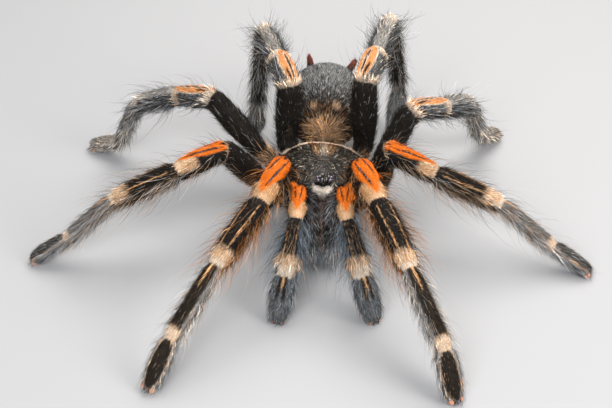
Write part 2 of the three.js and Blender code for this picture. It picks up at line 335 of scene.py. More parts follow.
def locate_on_body(spot, chosen, node):
    part = BODY_PARTS[node]
    middle, half = box_middle(node)
    places = spot.co[chosen]
    inside = (places - middle) / half
    spot.part[chosen] = part
    spot.t[chosen] = inside[:, 1] / 2 + 0.5
    spot.turn[chosen] = np.degrees(np.arctan2(np.abs(inside[:, 0]), inside[:, 2]))
    lie = np.tile((0.0, 1.0, -0.15), (len(chosen), 1))
    if part == SHIELD:
        pit = CENTRE + (0, SHIELD_HALF[1] * PIT_PLACE, 0)
        lie = (places - pit) * (1, 1, 0)
    elif part == JAW:
        lie[:] = (0.0, -0.35, -1.0)
        lie[:, 0] = inside[:, 0] * 0.25
        spot.t[chosen] = (JAW_TOP - places[:, 2]) / (JAW_TOP - JAW_FOOT)
    elif part == ABDOMEN:
        lie[:, 0] = inside[:, 0] * 0.5
        lie[:, 2] = -0.35 * np.abs(inside[:, 0])
    elif part == SPINNERET:
        lie[:] = SPINNERET_WAY
    spot.lie[chosen] = unit(lie)
    cell = np.array(divmod(list(BODY_PARTS).index(node), 3)[::-1])
    facing = spot.normal[chosen]
    upward = (facing[:, 2] - facing[:, 1]) * math.sqrt(0.5) if part == JAW else facing[:, 2]
    around = np.arctan2(facing[:, 0], upward) / (2 * math.pi) + 0.5
    flat = np.stack((around, inside[:, 1] / 2 + 0.5), 1)
    if part in (SHIELD, STERNUM):
        flat[:, 0] = (inside[:, 0] / 2 + 0.5 + (facing[:, 2] < 0)) / 2
    elif part == JAW:
        flat[:, 1] = spot.t[chosen]
    spot.map[chosen] = (flat * 0.92 + 0.04 + cell) / 3


# How far a bend is felt along a segment, and how far forward of the shield's middle its
# pit lies, as a share of half its length.
BEND_REACH = 2.0 * MM
PIT_PLACE = -0.04
SHIELD_SQUARENESS = 2.2
# How high the pale fringe of the face starts, in millimetres.
FRINGE_TOP = 11.75
SPINNERET_WAY = (0.0, 0.74, 0.67)


# ---------------------------------------------------------------- settings

PALETTE = {
    "black": ((0.008, 0.0065, 0.0055), "Velvet black of the thighs"),
    "dark_brown": ((0.031, 0.022, 0.014), "Tops of the feet"),
    "orange": ((0.93, 0.19, 0.001), "Knees of the front legs and palps"),
    "pale_orange": ((0.86, 0.34, 0.11), "Knees of the rear legs"),
    "cream": ((0.74, 0.405, 0.185), "Bands below the knees and shins"),
    "white": ((0.92, 0.78, 0.62), "Edges of the bands"),
    "bright": ((1.0, 0.91, 0.80), "Fringe below the eyes"),
    "ginger": ((0.34, 0.13, 0.035), "Long side hair of the front shins"),
    "tan": ((0.33, 0.22, 0.14), "Long side hair and hips"),
    "grey": ((0.30, 0.30, 0.30), "Fringes of the feet"),
    "blue_grey": ((0.15, 0.175, 0.20), "Palps, jaws and rear shins"),
    "dark_grey": ((0.055, 0.053, 0.050), "Top of the abdomen"),
    "red_brown": ((0.20, 0.045, 0.025), "Spinnerets and rear of the abdomen"),
    "maroon": ((0.060, 0.030, 0.028), "Bare skin of the face"),
    "seam_pink": ((0.30, 0.20, 0.165), "Short hair where the jaws meet"),
    "olive": ((0.12, 0.11, 0.075), "Short hair of the shield"),
}


def colour_property(default, description):
    return bpy.props.FloatVectorProperty(
        name="Colour",
        description=description,
        default=default,
        size=3,
        min=0,
        max=1,
        subtype="COLOR",
    )


def number_property(name, description, default, **more):
    return bpy.props.FloatProperty(name=name, description=description, default=default, **more)


def length_property(name, description, millimetres):
    return number_property(name, description, millimetres * MM, min=0, unit="LENGTH")


def density_property(name, description, count):
    return number_property(name, f"{description} on a square millimetre", count, min=0)


def angle_property(name, description, degrees):
    return number_property(name, description, math.radians(degrees), subtype="ANGLE")


class TarantulaColours(bpy.types.PropertyGroup):
    """Colours of the coat and of the bare skin."""

    __annotations__ = {n: colour_property(*v) for n, v in PALETTE.items()}


class TarantulaSizes(bpy.types.PropertyGroup):
    """Sizes of the skin and of the coat."""

    skin_cell: length_property("Skin cell", "Edge of the skin's small faces", 0.43)
    seam_closing: length_property("Seam closing", "How far parts swell to join", 0.22)
    coat_depth: length_property("Coat depth", "How far the skin lies under the coat", 0.5)
    shield_depth: length_property("Shield depth", "How far the shield lies under its hair", 0.15)
    down_length: length_property("Down", "Length of the short tufts", 1.15)
    guard_length: length_property("Guard hair", "Length of the middle tufts", 2.4)
    bristle_length: length_property("Bristles", "Length of the longest hair", 5.2)
    down_density: density_property("Down density", "Short tufts", 21)
    guard_density: density_property("Guard density", "Middle tufts", 3)
    bristle_density: density_property("Bristle density", "Long hairs", 1.8)


class TarantulaStage(bpy.types.PropertyGroup):
    """Floor, lights and camera."""

    floor_colour: colour_property((0.30, 0.30, 0.305), "The plain floor")
    camera_distance: length_property("Distance", "From the shield's middle to the camera", 212)
    camera_height: angle_property("Elevation", "Above the floor", 36.3)
    camera_side: angle_property("Azimuth", "Round the animal", 1.0)
    lens: number_property("Lens", "Focal length", 58.8, subtype="DISTANCE_CAMERA")
    key_power: number_property("Key light", "Power of the softbox overhead", 2.3, unit="POWER")
    fill_power: number_property("Fill light", "Power of the softbox in front", 2.2, unit="POWER")


def colours():
    settings = bpy.context.scene.tarantula_colours
    return {n: np.array(getattr(settings, n)) for n in PALETTE}


# ---------------------------------------------------------------- working with objects


def deselect():
    if bpy.context.object and bpy.context.object.mode != "OBJECT":
        bpy.ops.object.mode_set(mode="OBJECT")
    bpy.ops.object.select_all(action="DESELECT")


def pick(obj):
    deselect()
    obj.select_set(True)
    bpy.context.view_layer.objects.active = obj


@contextmanager
def editing():
    """Edit mode, with the whole mesh selected."""
    bpy.ops.object.mode_set(mode="EDIT")
    bpy.ops.mesh.select_all(action="SELECT")
    yield
    bpy.ops.object.mode_set(mode="OBJECT")


def apply_modifier(obj, kind, **values):
    pick(obj)
    modifier = obj.modifiers.new(kind.title(), kind)
    for name, value in values.items():
        setattr(modifier, name, value)
    bpy.ops.object.modifier_apply(modifier=modifier.name)


def joined(objects, name):
    deselect()
    for obj in objects:
        obj.select_set(True)
    bpy.context.view_layer.objects.active = objects[0]
    if len(objects) > 1:
        bpy.ops.object.join()
    made = bpy.context.view_layer.objects.active
    made.name = made.data.name = name
    return made


def copies_of(nodes, name):
    """The named CAD nodes as one new object, each closed again."""
    made = []
    for node in nodes:
        mesh = frame["nodes"][node].data.copy()
        mesh.materials.clear()
        obj = bpy.data.objects.new(node + "_copy", mesh)
        bpy.context.scene.collection.objects.link(obj)
        made.append(obj)
    whole = joined(made, name)
    with editing():
        bpy.ops.mesh.remove_doubles(threshold=MM / 1000)
        bpy.ops.mesh.normals_make_consistent(inside=False)
    for attribute in list(whole.data.attributes):
        if attribute.name not in NEEDED_LAYERS:
            whole.data.attributes.remove(attribute)
    return whole


def keep_largest(obj):
    """Deletes every loose shell but the largest."""
    name = obj.name
    pick(obj)
    with editing():
        bpy.ops.mesh.separate(type="LOOSE")
    shells = sorted(bpy.context.selected_objects, key=lambda o: len(o.data.vertices))
    largest = shells.pop()
    for shell in shells:
        bpy.data.objects.remove(shell)
    largest.name = largest.data.name = name
    return largest


def finished(obj, material, slot, *nodes):
    """A finished piece: at the origin, smooth, in its material, riding on the body."""
    pick(obj)
    bpy.ops.object.transform_apply(location=True, rotation=True, scale=True)
    bpy.ops.object.shade_smooth()
    obj.data.materials.clear()
    obj.data.materials.append(material)
    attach(obj, "root")
    if nodes:
        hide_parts(*nodes)
    return obj


def paint(mesh, values):
    layer = mesh.attributes.new("shade", "FLOAT_COLOR", "POINT")
    whole = np.ones((len(values), 4), np.float32)
    whole[:, :3] = values
    layer.data.foreach_set("color", whole.ravel())


# ---------------------------------------------------------------- materials


def add_node(tree, kind, links=(), **values):
    """Adds a node, sets its values, and links each named input to an output."""
    node = tree.nodes.new(kind)
    for name, value in values.items():
        setattr(node, name, value)
    for socket, source in dict(links).items():
        if isinstance(source, bpy.types.NodeSocket):
            tree.links.new(source, node.inputs[socket])
        else:
            node.inputs[socket].default_value = source
    return node


def mottle_group():
    """Uneven colour: a soft cloud and a fine grain that lighten and darken a colour."""
    if "mottle" in bpy.data.node_groups:
        return bpy.data.node_groups["mottle"]
    group = bpy.data.node_groups.new("mottle", "ShaderNodeTree")
    for label, way, kind in (
        ("Color", "INPUT", "NodeSocketColor"),
        ("Cloud Scale", "INPUT", "NodeSocketFloat"),
        ("Grain Scale", "INPUT", "NodeSocketFloat"),
        ("Amount", "INPUT", "NodeSocketFloat"),
        ("Color", "OUTPUT", "NodeSocketColor"),
        ("Grain", "OUTPUT", "NodeSocketFloat"),
    ):
        group.interface.new_socket(label, in_out=way, socket_type=kind)
    given = add_node(group, "NodeGroupInput").outputs
    where = add_node(group, "ShaderNodeTexCoord").outputs["Object"]
    cloud, grain = (
        add_node(
            group,
            "ShaderNodeTexNoise",
            {"Vector": where, "Scale": given[scale], "Detail": detail},
        ).outputs["Fac"]
        for scale, detail in (("Cloud Scale", 3.0), ("Grain Scale", 2.0))
    )
    swing = cloud
    for operation, links in (
        ("ADD", {1: grain}),
        ("SUBTRACT", {1: 1.0}),
        ("MULTIPLY_ADD", {1: given["Amount"], 2: 1.0}),
    ):
        node = add_node(group, "ShaderNodeMath", {0: swing, **links}, operation=operation)
        swing = node.outputs[0]
    scaled = {0: given["Color"], "Scale": swing}
    shade = add_node(group, "ShaderNodeVectorMath", scaled, operation="SCALE")
    add_node(group, "NodeGroupOutput", {"Color": shade.outputs["Vector"], "Grain": grain})
    return group


BUMP_DEPTH = 0.1 * MM
# How much paler an eye's rim is than the velvet black.
RIM_LIFT = 1.5


def surface_material(name, mottle, colour=None, rough=0.5, specular=0.5, bump=0.0, coat=()):
    """A Principled material, made once, in one colour or in the piece's own painted shade.
    mottle says how fine its cloud and its grain are, and how strong."""
    if name in bpy.data.materials:
        return bpy.data.materials[name]
    material = bpy.data.materials.new(name)
    material.use_nodes = True
    tree = material.node_tree
    shader = tree.nodes["Principled BSDF"].inputs
    shader["Roughness"].default_value = rough
    shader["Specular IOR Level"].default_value = specular
    for label, value in zip(("Coat Weight", "Coat Roughness"), coat):
        shader[label].default_value = value
    if colour is None:
        source = add_node(tree, "ShaderNodeAttribute", attribute_name="shade").outputs["Color"]
    else:
        source = (*colour, 1.0)
    given = dict(zip(("Color", "Cloud Scale", "Grain Scale", "Amount"), (source, *mottle)))
    uneven = add_node(tree, "ShaderNodeGroup", given, node_tree=mottle_group()).outputs
    tree.links.new(uneven["Color"], shader["Base Color"])
    if bump:
        given = {"Height": uneven["Grain"], "Strength": bump, "Distance": BUMP_DEPTH}
        tree.links.new(add_node(tree, "ShaderNodeBump", given).outputs["Normal"], shader["Normal"])
    return material


def skin_material():
    mottle = (500.0, 9000.0, 0.5)
    return surface_material("tarantula_skin", mottle, rough=0.7, specular=0.15, bump=0.6)


def coat_material():
    return surface_material("tarantula_coat", (700.0, 5000.0, 0.35), rough=0.65, specular=0.06)


def shield_material():
    mottle = (900.0, 7000.0, 0.6)
    return surface_material("tarantula_shield", mottle, rough=0.5, specular=0.3, bump=0.5)


def dark_eye():
    colour = (0.012, 0.014, 0.020)
    return surface_material("eye_dark", (3000.0, 9000.0, 0.3), colour, 0.06, 0.8, coat=(1, 0.03))


def pearl_eye():
    colour = (0.07, 0.045, 0.075)
    return surface_material("eye_pearl", (3000.0, 9000.0, 0.4), colour, 0.12, 0.7, coat=(1, 0.04))


def rim_skin():
    colour = colours()["black"] * RIM_LIFT
    return surface_material("eye_rim", (2000.0, 9000.0, 0.4), colour, 0.45, 0.4, 0.2)


def fang_horn():
    colour = (0.012, 0.008, 0.007)
    return surface_material("fang_horn", (900.0, 5000.0, 0.5), colour, 0.18, 0.6, coat=(0.6, 0.08))


def claw_horn():
    return surface_material("claw_horn", (3000.0, 9000.0, 0.5), (0.012, 0.009, 0.008), 0.25, 0.5)


def pad_skin():
    colour = (0.62, 0.26, 0.16)
    return surface_material("pad_skin", (2500.0, 14000.0, 0.5), colour, 0.6, 0.3, 0.6)


# ---------------------------------------------------------------- markings

# The headings and the relative lengths of the waves that add up to a soft pattern.
WAVES = ((0.3, 1.0), (1.4, 0.83), (2.5, 1.21), (3.7, 0.71), (5.2, 1.37))
# How wide the orange of a knee is, from where it meets the thigh to its far end.
TONGUE = ((0, 0.02, 0.2, 0.45, 0.68, 0.86, 0.95), (0.8, 0.95, 1, 0.85, 0.45, 0.2, 0))
# The lines on the knees of the front legs, rear legs and palps: the colour, where each
# starts and ends along the knee and round it, its width in degrees and how full it is.
FORE_LINES = (
    ("black", 0.10, 0.76, 38, 6, 6.0, 1.0),
    ("black", 0.06, 0.42, -10, -27, 7.0, 1.0),
    ("blue_grey", 0.14, 0.70, 36, 8, 1.6, 0.7),
    ("blue_grey", 0.10, 0.38, -12, -25, 1.8, 0.7),
)
REAR_LINES = (
    ("white", 0.05, 0.85, -1, 1, 11, 0.8),
    ("black", 0.07, 0.82, -1, 1, 6.0, 1.0),
    ("black", 0.08, 0.36, 19, 23, 6.5, 1.0),
)
PALP_LINES = (
    ("black", 0.05, 0.60, 30, 9, 5.5, 1.0),
    ("black", 0.05, 0.60, -30, -9, 5.5, 1.0),
)
FORE_DOT = (0.08, 0.05, 15, 11)
PALP_DOT = (0.0, 0.13, 0, 20)
# For each kind of limb: the knee's orange, the middle and the reach of it round the knee
# in degrees, the colour of its sides, where its pale end starts, how deep its collar is,
# its lines, and the middle and reach of a black dot near its start.
KNEES = (
    ("orange", 1, 66, "black", 0.60, 0.03, FORE_LINES, FORE_DOT),
    ("orange", -8, 58, "black", 0.62, 0.045, FORE_LINES, FORE_DOT),
    ("pale_orange", -2, 44, "dark_grey", 0.79, 0.10, REAR_LINES, None),
    ("pale_orange", -20, 42, "dark_grey", 0.77, 0.10, REAR_LINES, None),
    ("orange", 0, 62, "black", 0.60, 0.02, PALP_LINES, PALP_DOT),
)
# Where the pale band at the end of the shin starts, for each kind of limb.
SHIN_BANDS = np.array((0.75, 0.70, 0.80, 0.80, 0.60))
# The size of the fine specks in a pale band.
SPECK = 0.24 * MM
# How dark the skin and the shield are beside the hair that stands on them.
SKIN_SHADE = 0.46
SHIELD_SHADE = 0.27


def between(x, low, high, soft):
    return rising(x, low - soft, low + soft) * falling(x, high - soft, high + soft)


def streak(turn, t, start, end, start_turn, end_turn, width):
    """A thin line along a segment that swings from one turn to another."""
    share = np.clip((t - start) / (end - start), 0, 1)
    middle = start_turn + (end_turn - start_turn) * share
    taper = np.sqrt(np.clip(share * (1 - share) * 4, 0, 1)) * 0.7 + 0.3
    reach = falling(np.abs(turn - middle), width * taper * 0.7, width * taper * 1.3)
    return reach * between(t, start, end, 0.015)


def patches(places, size):
    """A soft uneven pattern from 0 to 1, with patches of about the given size."""
    found = np.zeros(len(places))
    for turn, reach in WAVES:
        way = np.array((math.cos(turn), math.sin(turn), math.cos(turn * 2.7)))
        found += np.sin(places @ way * (math.pi / size * reach) + turn * 5)
    return rising(found, -2, 2)


class Painter:
    """Lays colours over one another where their masks beat each hair's own chance."""

    def __init__(self, spot, chance):
        self.palette = colours()
        self.spot = spot
        self.chance = chance
        self.shade = np.tile(self.palette["black"], (len(spot.t), 1))

    def on(self, region):
        """A function that lays a colour on one region, as full as a mask says."""

        def lay(colour, mask=1.0):
            self.shade[region * mask > self.chance] = self.palette[colour]

        return lay


def paint_knee(brush, here):
    spot = brush.spot
    wide = np.abs(spot.turn)
    fine = patches(spot.co, SPECK)
    for kind, (colour, middle, reach, side, pale_end, collar, lines, dot) in enumerate(KNEES):
        lay = brush.on(here & (spot.kind == kind))
        rear = lines is REAR_LINES
        across = spot.turn - middle
        lay(side, 0.6 if rear else 1.0)
        lay("grey", rear * 0.25)
        lay("white", rear * rising(fine, 0.7, 0.9) * 0.5)
        lay("blue_grey", rear * 0.2)
        fade = falling(wide, 105, 130) if rear else falling(wide, 72, 92)
        band = rising(spot.t, pale_end - 0.04, pale_end + 0.05) * fade
        lay("cream", band)
        lay("white", band * (0.85 if rear else 0.38 if kind == 1 else 0.15))
        lay("tan", band * 0.15)
        speck = rising(fine, 0.55, 0.8) * (0.3 + 0.7 * rising(wide, 10, 60))
        lay("ginger", band * speck * 0.4)
        lay("dark_brown", band * (0.04 + speck * (0.4 if kind == 1 else 0.25)))
        tongue = np.interp(spot.t, *TONGUE) * reach
        inside = falling(np.abs(across), tongue - 6, tongue + 6)
        if rear:
            tongue = reach * np.sqrt(np.clip(spot.t * (0.97 - spot.t) * 4.3, 0, 1))
            inside = (np.abs(across) < tongue) * 1.0
            lay("white", (np.abs(across) < tongue + 7) * (tongue > 6) * 0.75)
        lay(colour, inside)
        lay("ginger", inside * rising(fine, 0.5, 0.8) * 0.35)
        lay("cream", inside * (0.25 if rear else 0.05))
        lay("white", (spot.t > 0.94) * falling(wide, 75, 95) * (0.6 if rear else 0.3))
        start = (spot.t < collar) * falling(wide, 90, 110)
        lay("cream", start * 0.85)
        lay("white", start * (0.65 if rear else 0.2))
        if dot:
            away = np.hypot((spot.t - dot[0]) / dot[1], (across - dot[2]) / dot[3])
            lay("black", falling(away, 0.8, 1.2))
        for shade, *line, share in lines:
            lay(shade, streak(across, spot.t, *line) * share)


def paint_shin(brush, here):
    spot, lay = brush.spot, brush.on(here)
    wide = np.abs(spot.turn)
    palp = spot.kind == PALP
    rear = (spot.kind == 2) | (spot.kind == 3)
    lay("dark_brown", 0.3)
    lay("tan", rising(wide, 62, 85) * 0.35)
    lay("ginger", (spot.kind == 0) * rising(wide, 55, 80) * 0.28)
    lay("dark_grey", rear * 0.9)
    lay("blue_grey", rear * 0.3)
    # The top of a rear shin is laid grey and white: partly pale hair, partly a painted highlight
    # where light falls on the top.
    top = falling(np.abs(spot.turn - 12), 25, 60)
    lay("grey", rear * top * 0.85)
    lay("white", rear * top * (0.14 + 0.36 * rising(spot.t, 0.3, 0.9)))
    lay("blue_grey", palp * rising(wide, 35, 60) * 0.8)
    across = spot.turn - 9 * (spot.kind == 1)
    for sign in (1, -1):
        stripe = streak(across, spot.t, 0.06, 0.95, sign * 33, sign * 24, 3.2)
        lay("cream", ~rear * stripe * np.where(palp, 0.55, 0.95))
        lay("white", rear * stripe * 0.5)
        lay("tan", palp * streak(spot.turn, spot.t, 0.06, 0.8, sign * 12, sign * 10, 3.5) * 0.6)
    start = SHIN_BANDS[spot.kind]
    band = rising(spot.t, start - 0.03, start + 0.02) * falling(wide, 75, 100)
    lay("cream", band)
    lay("white", band * np.where(rear, 0.85, 0.5))
    lay("bright", rear * band * 0.5)
    lay("dark_brown", band * rising(patches(spot.co, SPECK), 0.6, 0.85) * 0.2)
    lobes = palp & (spot.t > 0.8) & (np.abs(wide - 30) < 25)
    lay("white", band * lobes * 0.95)
    lay("tan", band * 0.06)
    lay("white", band * (spot.t > 0.93) * 0.8)


def paint_foot(brush, here):
    spot = brush.spot
    wide, kind = np.abs(spot.turn), spot.kind
    shank = brush.on(here & (spot.segment == METATARSUS))
    shank("dark_brown")
    shank("black", 0.3)
    shank("grey", rising(wide, 38, 58) * 0.8)
    shank("tan", rising(wide, 38, 58) * 0.25)
    shank("white", rising(wide, 45, 75) * 0.2)
    shank("grey", (kind == 1) * 0.65)
    shank("tan", (kind == 1) * 0.15)
    shank("grey", (kind == 2) * falling(wide, 40, 80) * 0.6)
    narrow = 9 * (1 - spot.t / 0.3)
    shank("cream", (spot.t < 0.26) * falling(wide, narrow, narrow + 3))
    shank("cream", rising(spot.t, 0.82, 0.87) * falling(wide, 60, 90))
    shank("white", (spot.t > 0.85) * falling(wide, 60, 90) * 0.55)
    shank("black", (kind == 3) * between(spot.t, 0.0, 0.8, 0.05) * 0.7)
    toe = brush.on(here & (spot.segment == TARSUS) & (kind != PALP))
    toe("grey", 0.8)
    across = spot.turn - np.where(kind == 0, 14, 4)
    panel = (np.abs(spot.t - 0.47) / 0.5) ** 3 + (np.abs(across) / 50) ** 3
    edge = between(panel, 0.8, 2.4, 0.3)
    for colour, share in (("tan", 0.5), ("cream", 0.45), ("white", 0.3)):
        toe(colour, edge * share)
    dark = falling(panel, 0.75, 1.05) * np.where(kind < 2, 1.0, 0.45)
    toe("dark_brown", dark)
    toe("black", dark * 0.3)
    toe("grey", (kind == 1) * 0.3)
    toe("tan", (kind == 2) * 0.35)
    toe("white", (kind == 2) * 0.25)
    palp = brush.on(here & (kind == PALP))
    palp("blue_grey", 0.8)
    palp("grey", 0.45)
    palp("dark_grey", 0.15)
    palp("dark_brown", between(wide, 8, 30, 5) * (spot.t < 0.45) * 0.8)
    palp("grey", (wide < 5) * 0.5)
    palp("cream", (wide < 7) * (spot.t < 0.22))


def paint_hip(brush, here):
    spot, lay = brush.spot, brush.on(here)
    coxa = (spot.segment == COXA) & (spot.kind != PALP)
    lay("dark_brown", 0.4)
    lay("tan", coxa * 0.5)
    lay("cream", coxa * 0.22)
    thigh = brush.on(here & (spot.segment == FEMUR))
    thigh("black", 0.97)
    thigh("dark_brown", 0.3)
    thigh("grey", 0.025)
    thigh("tan", rising(np.abs(spot.turn), 110, 150) * 0.3)


def shield_reach(off):
    """How far out towards the shield's margin each place is, in plan, as a share."""
    share = np.abs(off[:, :2]) / SHIELD_HALF[:2]
    return (share**SHIELD_SQUARENESS).sum(1) ** (1 / SHIELD_SQUARENESS)


def paint_shield(brush, here):
    """Black with fine pale specks, which are partly painted glints where hairs catch the light, a
    pale patch at the rear and a white rear rim.
    """
    spot, lay = brush.spot, brush.on(here)
    off = (spot.co - CENTRE) / MM
    x, y = off[:, 0], off[:, 1]
    clumps = patches(spot.co, 0.9 * MM)
    fine = patches(spot.co, 0.27 * MM)
    lay("olive", 0.08 + clumps * 0.24)
    lay("tan", rising(fine, 0.45, 0.75) * (0.06 + clumps * 0.35))
    # The grey and white specks are partly pale hair and partly painted glints where the hairs
    # catch the light.
    lay("grey", rising(fine, 0.65, 0.9) * (0.08 + clumps * 0.42))
    lay("white", rising(fine, 0.8, 0.93) * (0.08 + clumps * 0.42))
    reach, rear = shield_reach(off * MM), rising(y, -1, 3)
    lay("ginger", between(reach, 0.84, 0.93, 0.03) * rear * 0.3)
    lay("white", rising(reach, 0.92, 0.955) * rear * 0.9)
    lay("ginger", falling(np.hypot(x / 4.2, (y - 9.0) / 3.2), 0.7, 1.1) * 0.6)
    patch = np.hypot(x / 2.5, (y - 4.6) / 4.4)
    lay("tan", falling(patch, 0.7, 1.1) * 0.5)
    lay("cream", falling(patch, 0.6, 1.05) * (0.25 + 0.55 * clumps))
    lay("white", (patch < 1) * falling(np.abs(x), 0.3, 1.4) * 0.45)
    muzzle = falling(np.abs(x), 1.8, 2.3) * (y < -8.0)
    high = spot.co[:, 2] / MM
    lay("bright", muzzle * falling(high, FRINGE_TOP - 0.1, FRINGE_TOP + 0.2))
    pit = np.hypot(x / 0.8, (y - SHIELD_HALF[1] / MM * PIT_PLACE) / 0.5)
    lay("dark_brown", pit < 2.2)
    lay("tan", falling(pit, 0.6, 1.1) * 0.5)


def paint_abdomen(brush, here):
    """Pale brown in front, dark in the middle with two pale dabs, and grey over the top of the
    rear: partly pale hair, partly a painted highlight where light falls from above.
    """
    spot, lay = brush.spot, brush.on(here)
    across = np.abs(spot.co[:, 0] - ABDOMEN_MIDDLE[0]) / MM
    away = (spot.co[:, 1] - ABDOMEN_MIDDLE[1]) / ABDOMEN_HALF[1]
    rise = (spot.co[:, 2] - ABDOMEN_MIDDLE[2]) / ABDOMEN_HALF[2]
    clumps = patches(spot.co, 1.2 * MM)
    lay("dark_grey", 0.5)
    lay("dark_brown", 0.4)
    lay("ginger", falling(away, -0.6, -0.3) * clumps * 0.2)
    # Grey and a little white over the top of the rear: partly pale hair, partly a painted
    # highlight where the light from above falls.
    top = rising(away, -0.85, 0.25) * rising(rise, 0.1, 0.85)
    lay("grey", top * (0.6 + clumps * 0.2))
    lay("white", top * clumps * 0.08)
    front = falling(away, -0.95, -0.76) * (1 - 0.75 * rising(across, 2.2, 4.8))
    lay("tan", front * 0.85)
    lay("cream", front * 0.35)
    dab = np.hypot((across - 2.35) / 1.0, (away + 0.65) / 0.09)
    lay("tan", falling(dab, 0.7, 1.1) * (rise > 0) * 0.9)
    lay("cream", falling(dab, 0.3, 0.7) * (rise > 0) * 0.5)
    lay("red_brown", rising(away, 0.8, 0.98) * 0.25)


def paint_jaws(brush, here):
    """Nearly bare and dark at the top, fluffy grey at the foot, with a pale seam between."""
    spot, lay = brush.spot, brush.on(here)
    beside = np.abs(spot.co[:, 0] - CENTRE[0]) / MM
    lay("dark_brown", 0.3)
    lay("maroon", falling(spot.t, 0.2, 0.36) * 0.6)
    low = rising(spot.t, 0.42, 0.66)
    lay("blue_grey", low * 0.85)
    lay("grey", low * 0.75)
    lay("white", low * 0.22)
    lay("grey", rising(patches(spot.co, 0.3 * MM), 0.6, 0.9) * 0.5)
    lay("seam_pink", falling(beside, 0.3, 0.6) * (spot.t < 0.72) * 0.9)


def markings(spot, chance):
    """The coat's colour at each place. chance decides where two colours mingle."""
    brush = Painter(spot, chance)
    limb, part, segment = spot.part == LIMB, spot.part, spot.segment
    paint_hip(brush, limb & (segment <= FEMUR))
    paint_knee(brush, limb & (segment == PATELLA))
    paint_shin(brush, limb & (segment == TIBIA))
    paint_foot(brush, limb & (segment >= METATARSUS))
    paint_shield(brush, part == SHIELD)
    paint_abdomen(brush, part == ABDOMEN)
    paint_jaws(brush, part == JAW)
    brush.on(part == SPINNERET)("red_brown", rising(spot.t, 0.2, 0.4) * 0.8)
    brush.on(part == PEDICEL)("tan", 0.4)
    brush.on(part == STERNUM)("dark_brown", 0.4)
    specks = np.where(limb & (segment == FEMUR), 0.015, 0.045)
    brush.on(brush.shade.sum(1) < 0.2)("tan", specks)
    return brush.shade


def blended(spot):
    """The markings with their mingled colours mixed, as they show between the hairs."""
    chances = (0.1, 0.3, 0.5, 0.7, 0.9)
    return np.mean([markings(spot, np.full(len(spot.t), chance)) for chance in chances], 0)


# ---------------------------------------------------------------- skin, shield and small pieces


class TARANTULA_OT_skin(bpy.types.Operator):
    """Make one seamless skin out of the body and limbs, just under the coat"""

    bl_idname = "tarantula.skin"
    bl_label = "Body skin"

    def execute(self, context):
        sizes = context.scene.tarantula_sizes
        core = copies_of(["carapace"], "core")
        self.shrink_rear(core.data)
        skin = joined([copies_of(FLESH, "flesh"), core], "skin")
        apply_modifier(skin, "DISPLACE", strength=sizes.seam_closing, mid_level=0)
        apply_modifier(skin, "REMESH", mode="VOXEL", voxel_size=sizes.skin_cell)
        skin = keep_largest(skin)
        apply_modifier(skin, "SMOOTH", factor=0.5, iterations=SEAM_ROUNDS)
        self.sink(skin.data, sizes.coat_depth)
        self.clear_margin(skin.data)
        apply_modifier(skin, "SMOOTH", factor=0.5, iterations=MARGIN_ROUNDS)
        spot = surface_of(skin.data)
        self.crease_joints(skin.data, spot)
        shade = blended(spot) * SKIN_SHADE
        shade[spot.part == SHIELD] = colours()["black"]
        paint(skin.data, shade)
        finished(skin, skin_material(), "coat_black", *FLESH)
        return {"FINISHED"}

    def shrink_rear(self, mesh):
        """Draws the body in under the shield's rear, so that its margin stands free."""
        places = places_of(mesh)
        off = places - CENTRE
        share = 0.1 * rising(off[:, 1], -4 * MM, 0)
        share *= rising(np.abs(off[:, 0]), 2.5 * MM, 5 * MM)
        places[:, :2] -= off[:, :2] * share[:, None]
        move(mesh, places)

    def sink(self, mesh, depth):
        """Moves the skin in by the coat's depth, and by less where the hair is short."""
        spot = surface_of(mesh)
        share = np.where(spot.part == JAW, 0.5, 1.0)
        share = np.where(spot.part == SPINNERET, 0.3, share)
        share = np.where(spot.segment == TARSUS, 0.7, share)
        move(mesh, spot.co - spot.normal * (depth * share)[:, None])

    def clear_margin(self, mesh):
        """Keeps the skin under the shield's rear, so that its margin shows by the legs."""
        places = places_of(mesh)
        for at, top in shield_tops(places, MARGIN_REACH):
            over = (places[at, 2] - top) / MARGIN_GAP
            if abs(over) < 1:
                places[at, 2] = top - MARGIN_GAP
            elif over > 1:
                off = places[at, :2] - CENTRE[:2]
                clear = max(LEG_CLEARANCE / shield_reach(off[None])[0], 1)
                clear = clear + (1 - clear) * rising(over, 2, 6)
                places[at, :2] = CENTRE[:2] + off * clear
        move(mesh, places)

    def crease_joints(self, mesh, spot):
        """Pinches the skin where two segments meet."""
        ends = np.minimum(spot.t, 1 - spot.t)
        deep = np.exp(-((ends / CREASE_REACH) ** 2)) * CREASE_DEPTH
        deep *= (spot.part == LIMB) & (spot.segment > COXA)
        deep *= ~((spot.segment == TARSUS) & (spot.t > 0.5))
        move(mesh, spot.co - spot.normal * deep[:, None])


# How many rounds of smoothing soften the seams between segments, the skin by the margin
# and the shield, and the size of the shield's small faces.
SEAM_ROUNDS, MARGIN_ROUNDS, SHIELD_ROUNDS = 26, 4, 12
SHIELD_CELL = 0.3 * MM
# By the shield's rear, the skin stays under it by the gap, as far out as the reach says,
# and a leg's base that passes over it keeps outside it by the clearance.
MARGIN_REACH = 0.93
MARGIN_GAP = 1.2 * MM
LEG_CLEARANCE = 1.13
# How far along a segment a crease is felt, as a share of it, and how deep it is.
CREASE_REACH = 0.06
CREASE_DEPTH = 0.32 * MM
# The shield's grooves: the angle from the front and the width in degrees, and the depth in
# millimetres.
GROOVES = ((38, 6, 0.26), (72, 7, 0.15), (103, 7, 0.15), (138, 7, 0.14))
PIT_DEPTH = 0.5


# How far off a ray starts, well outside the body.
OUTSIDE = 50 * MM


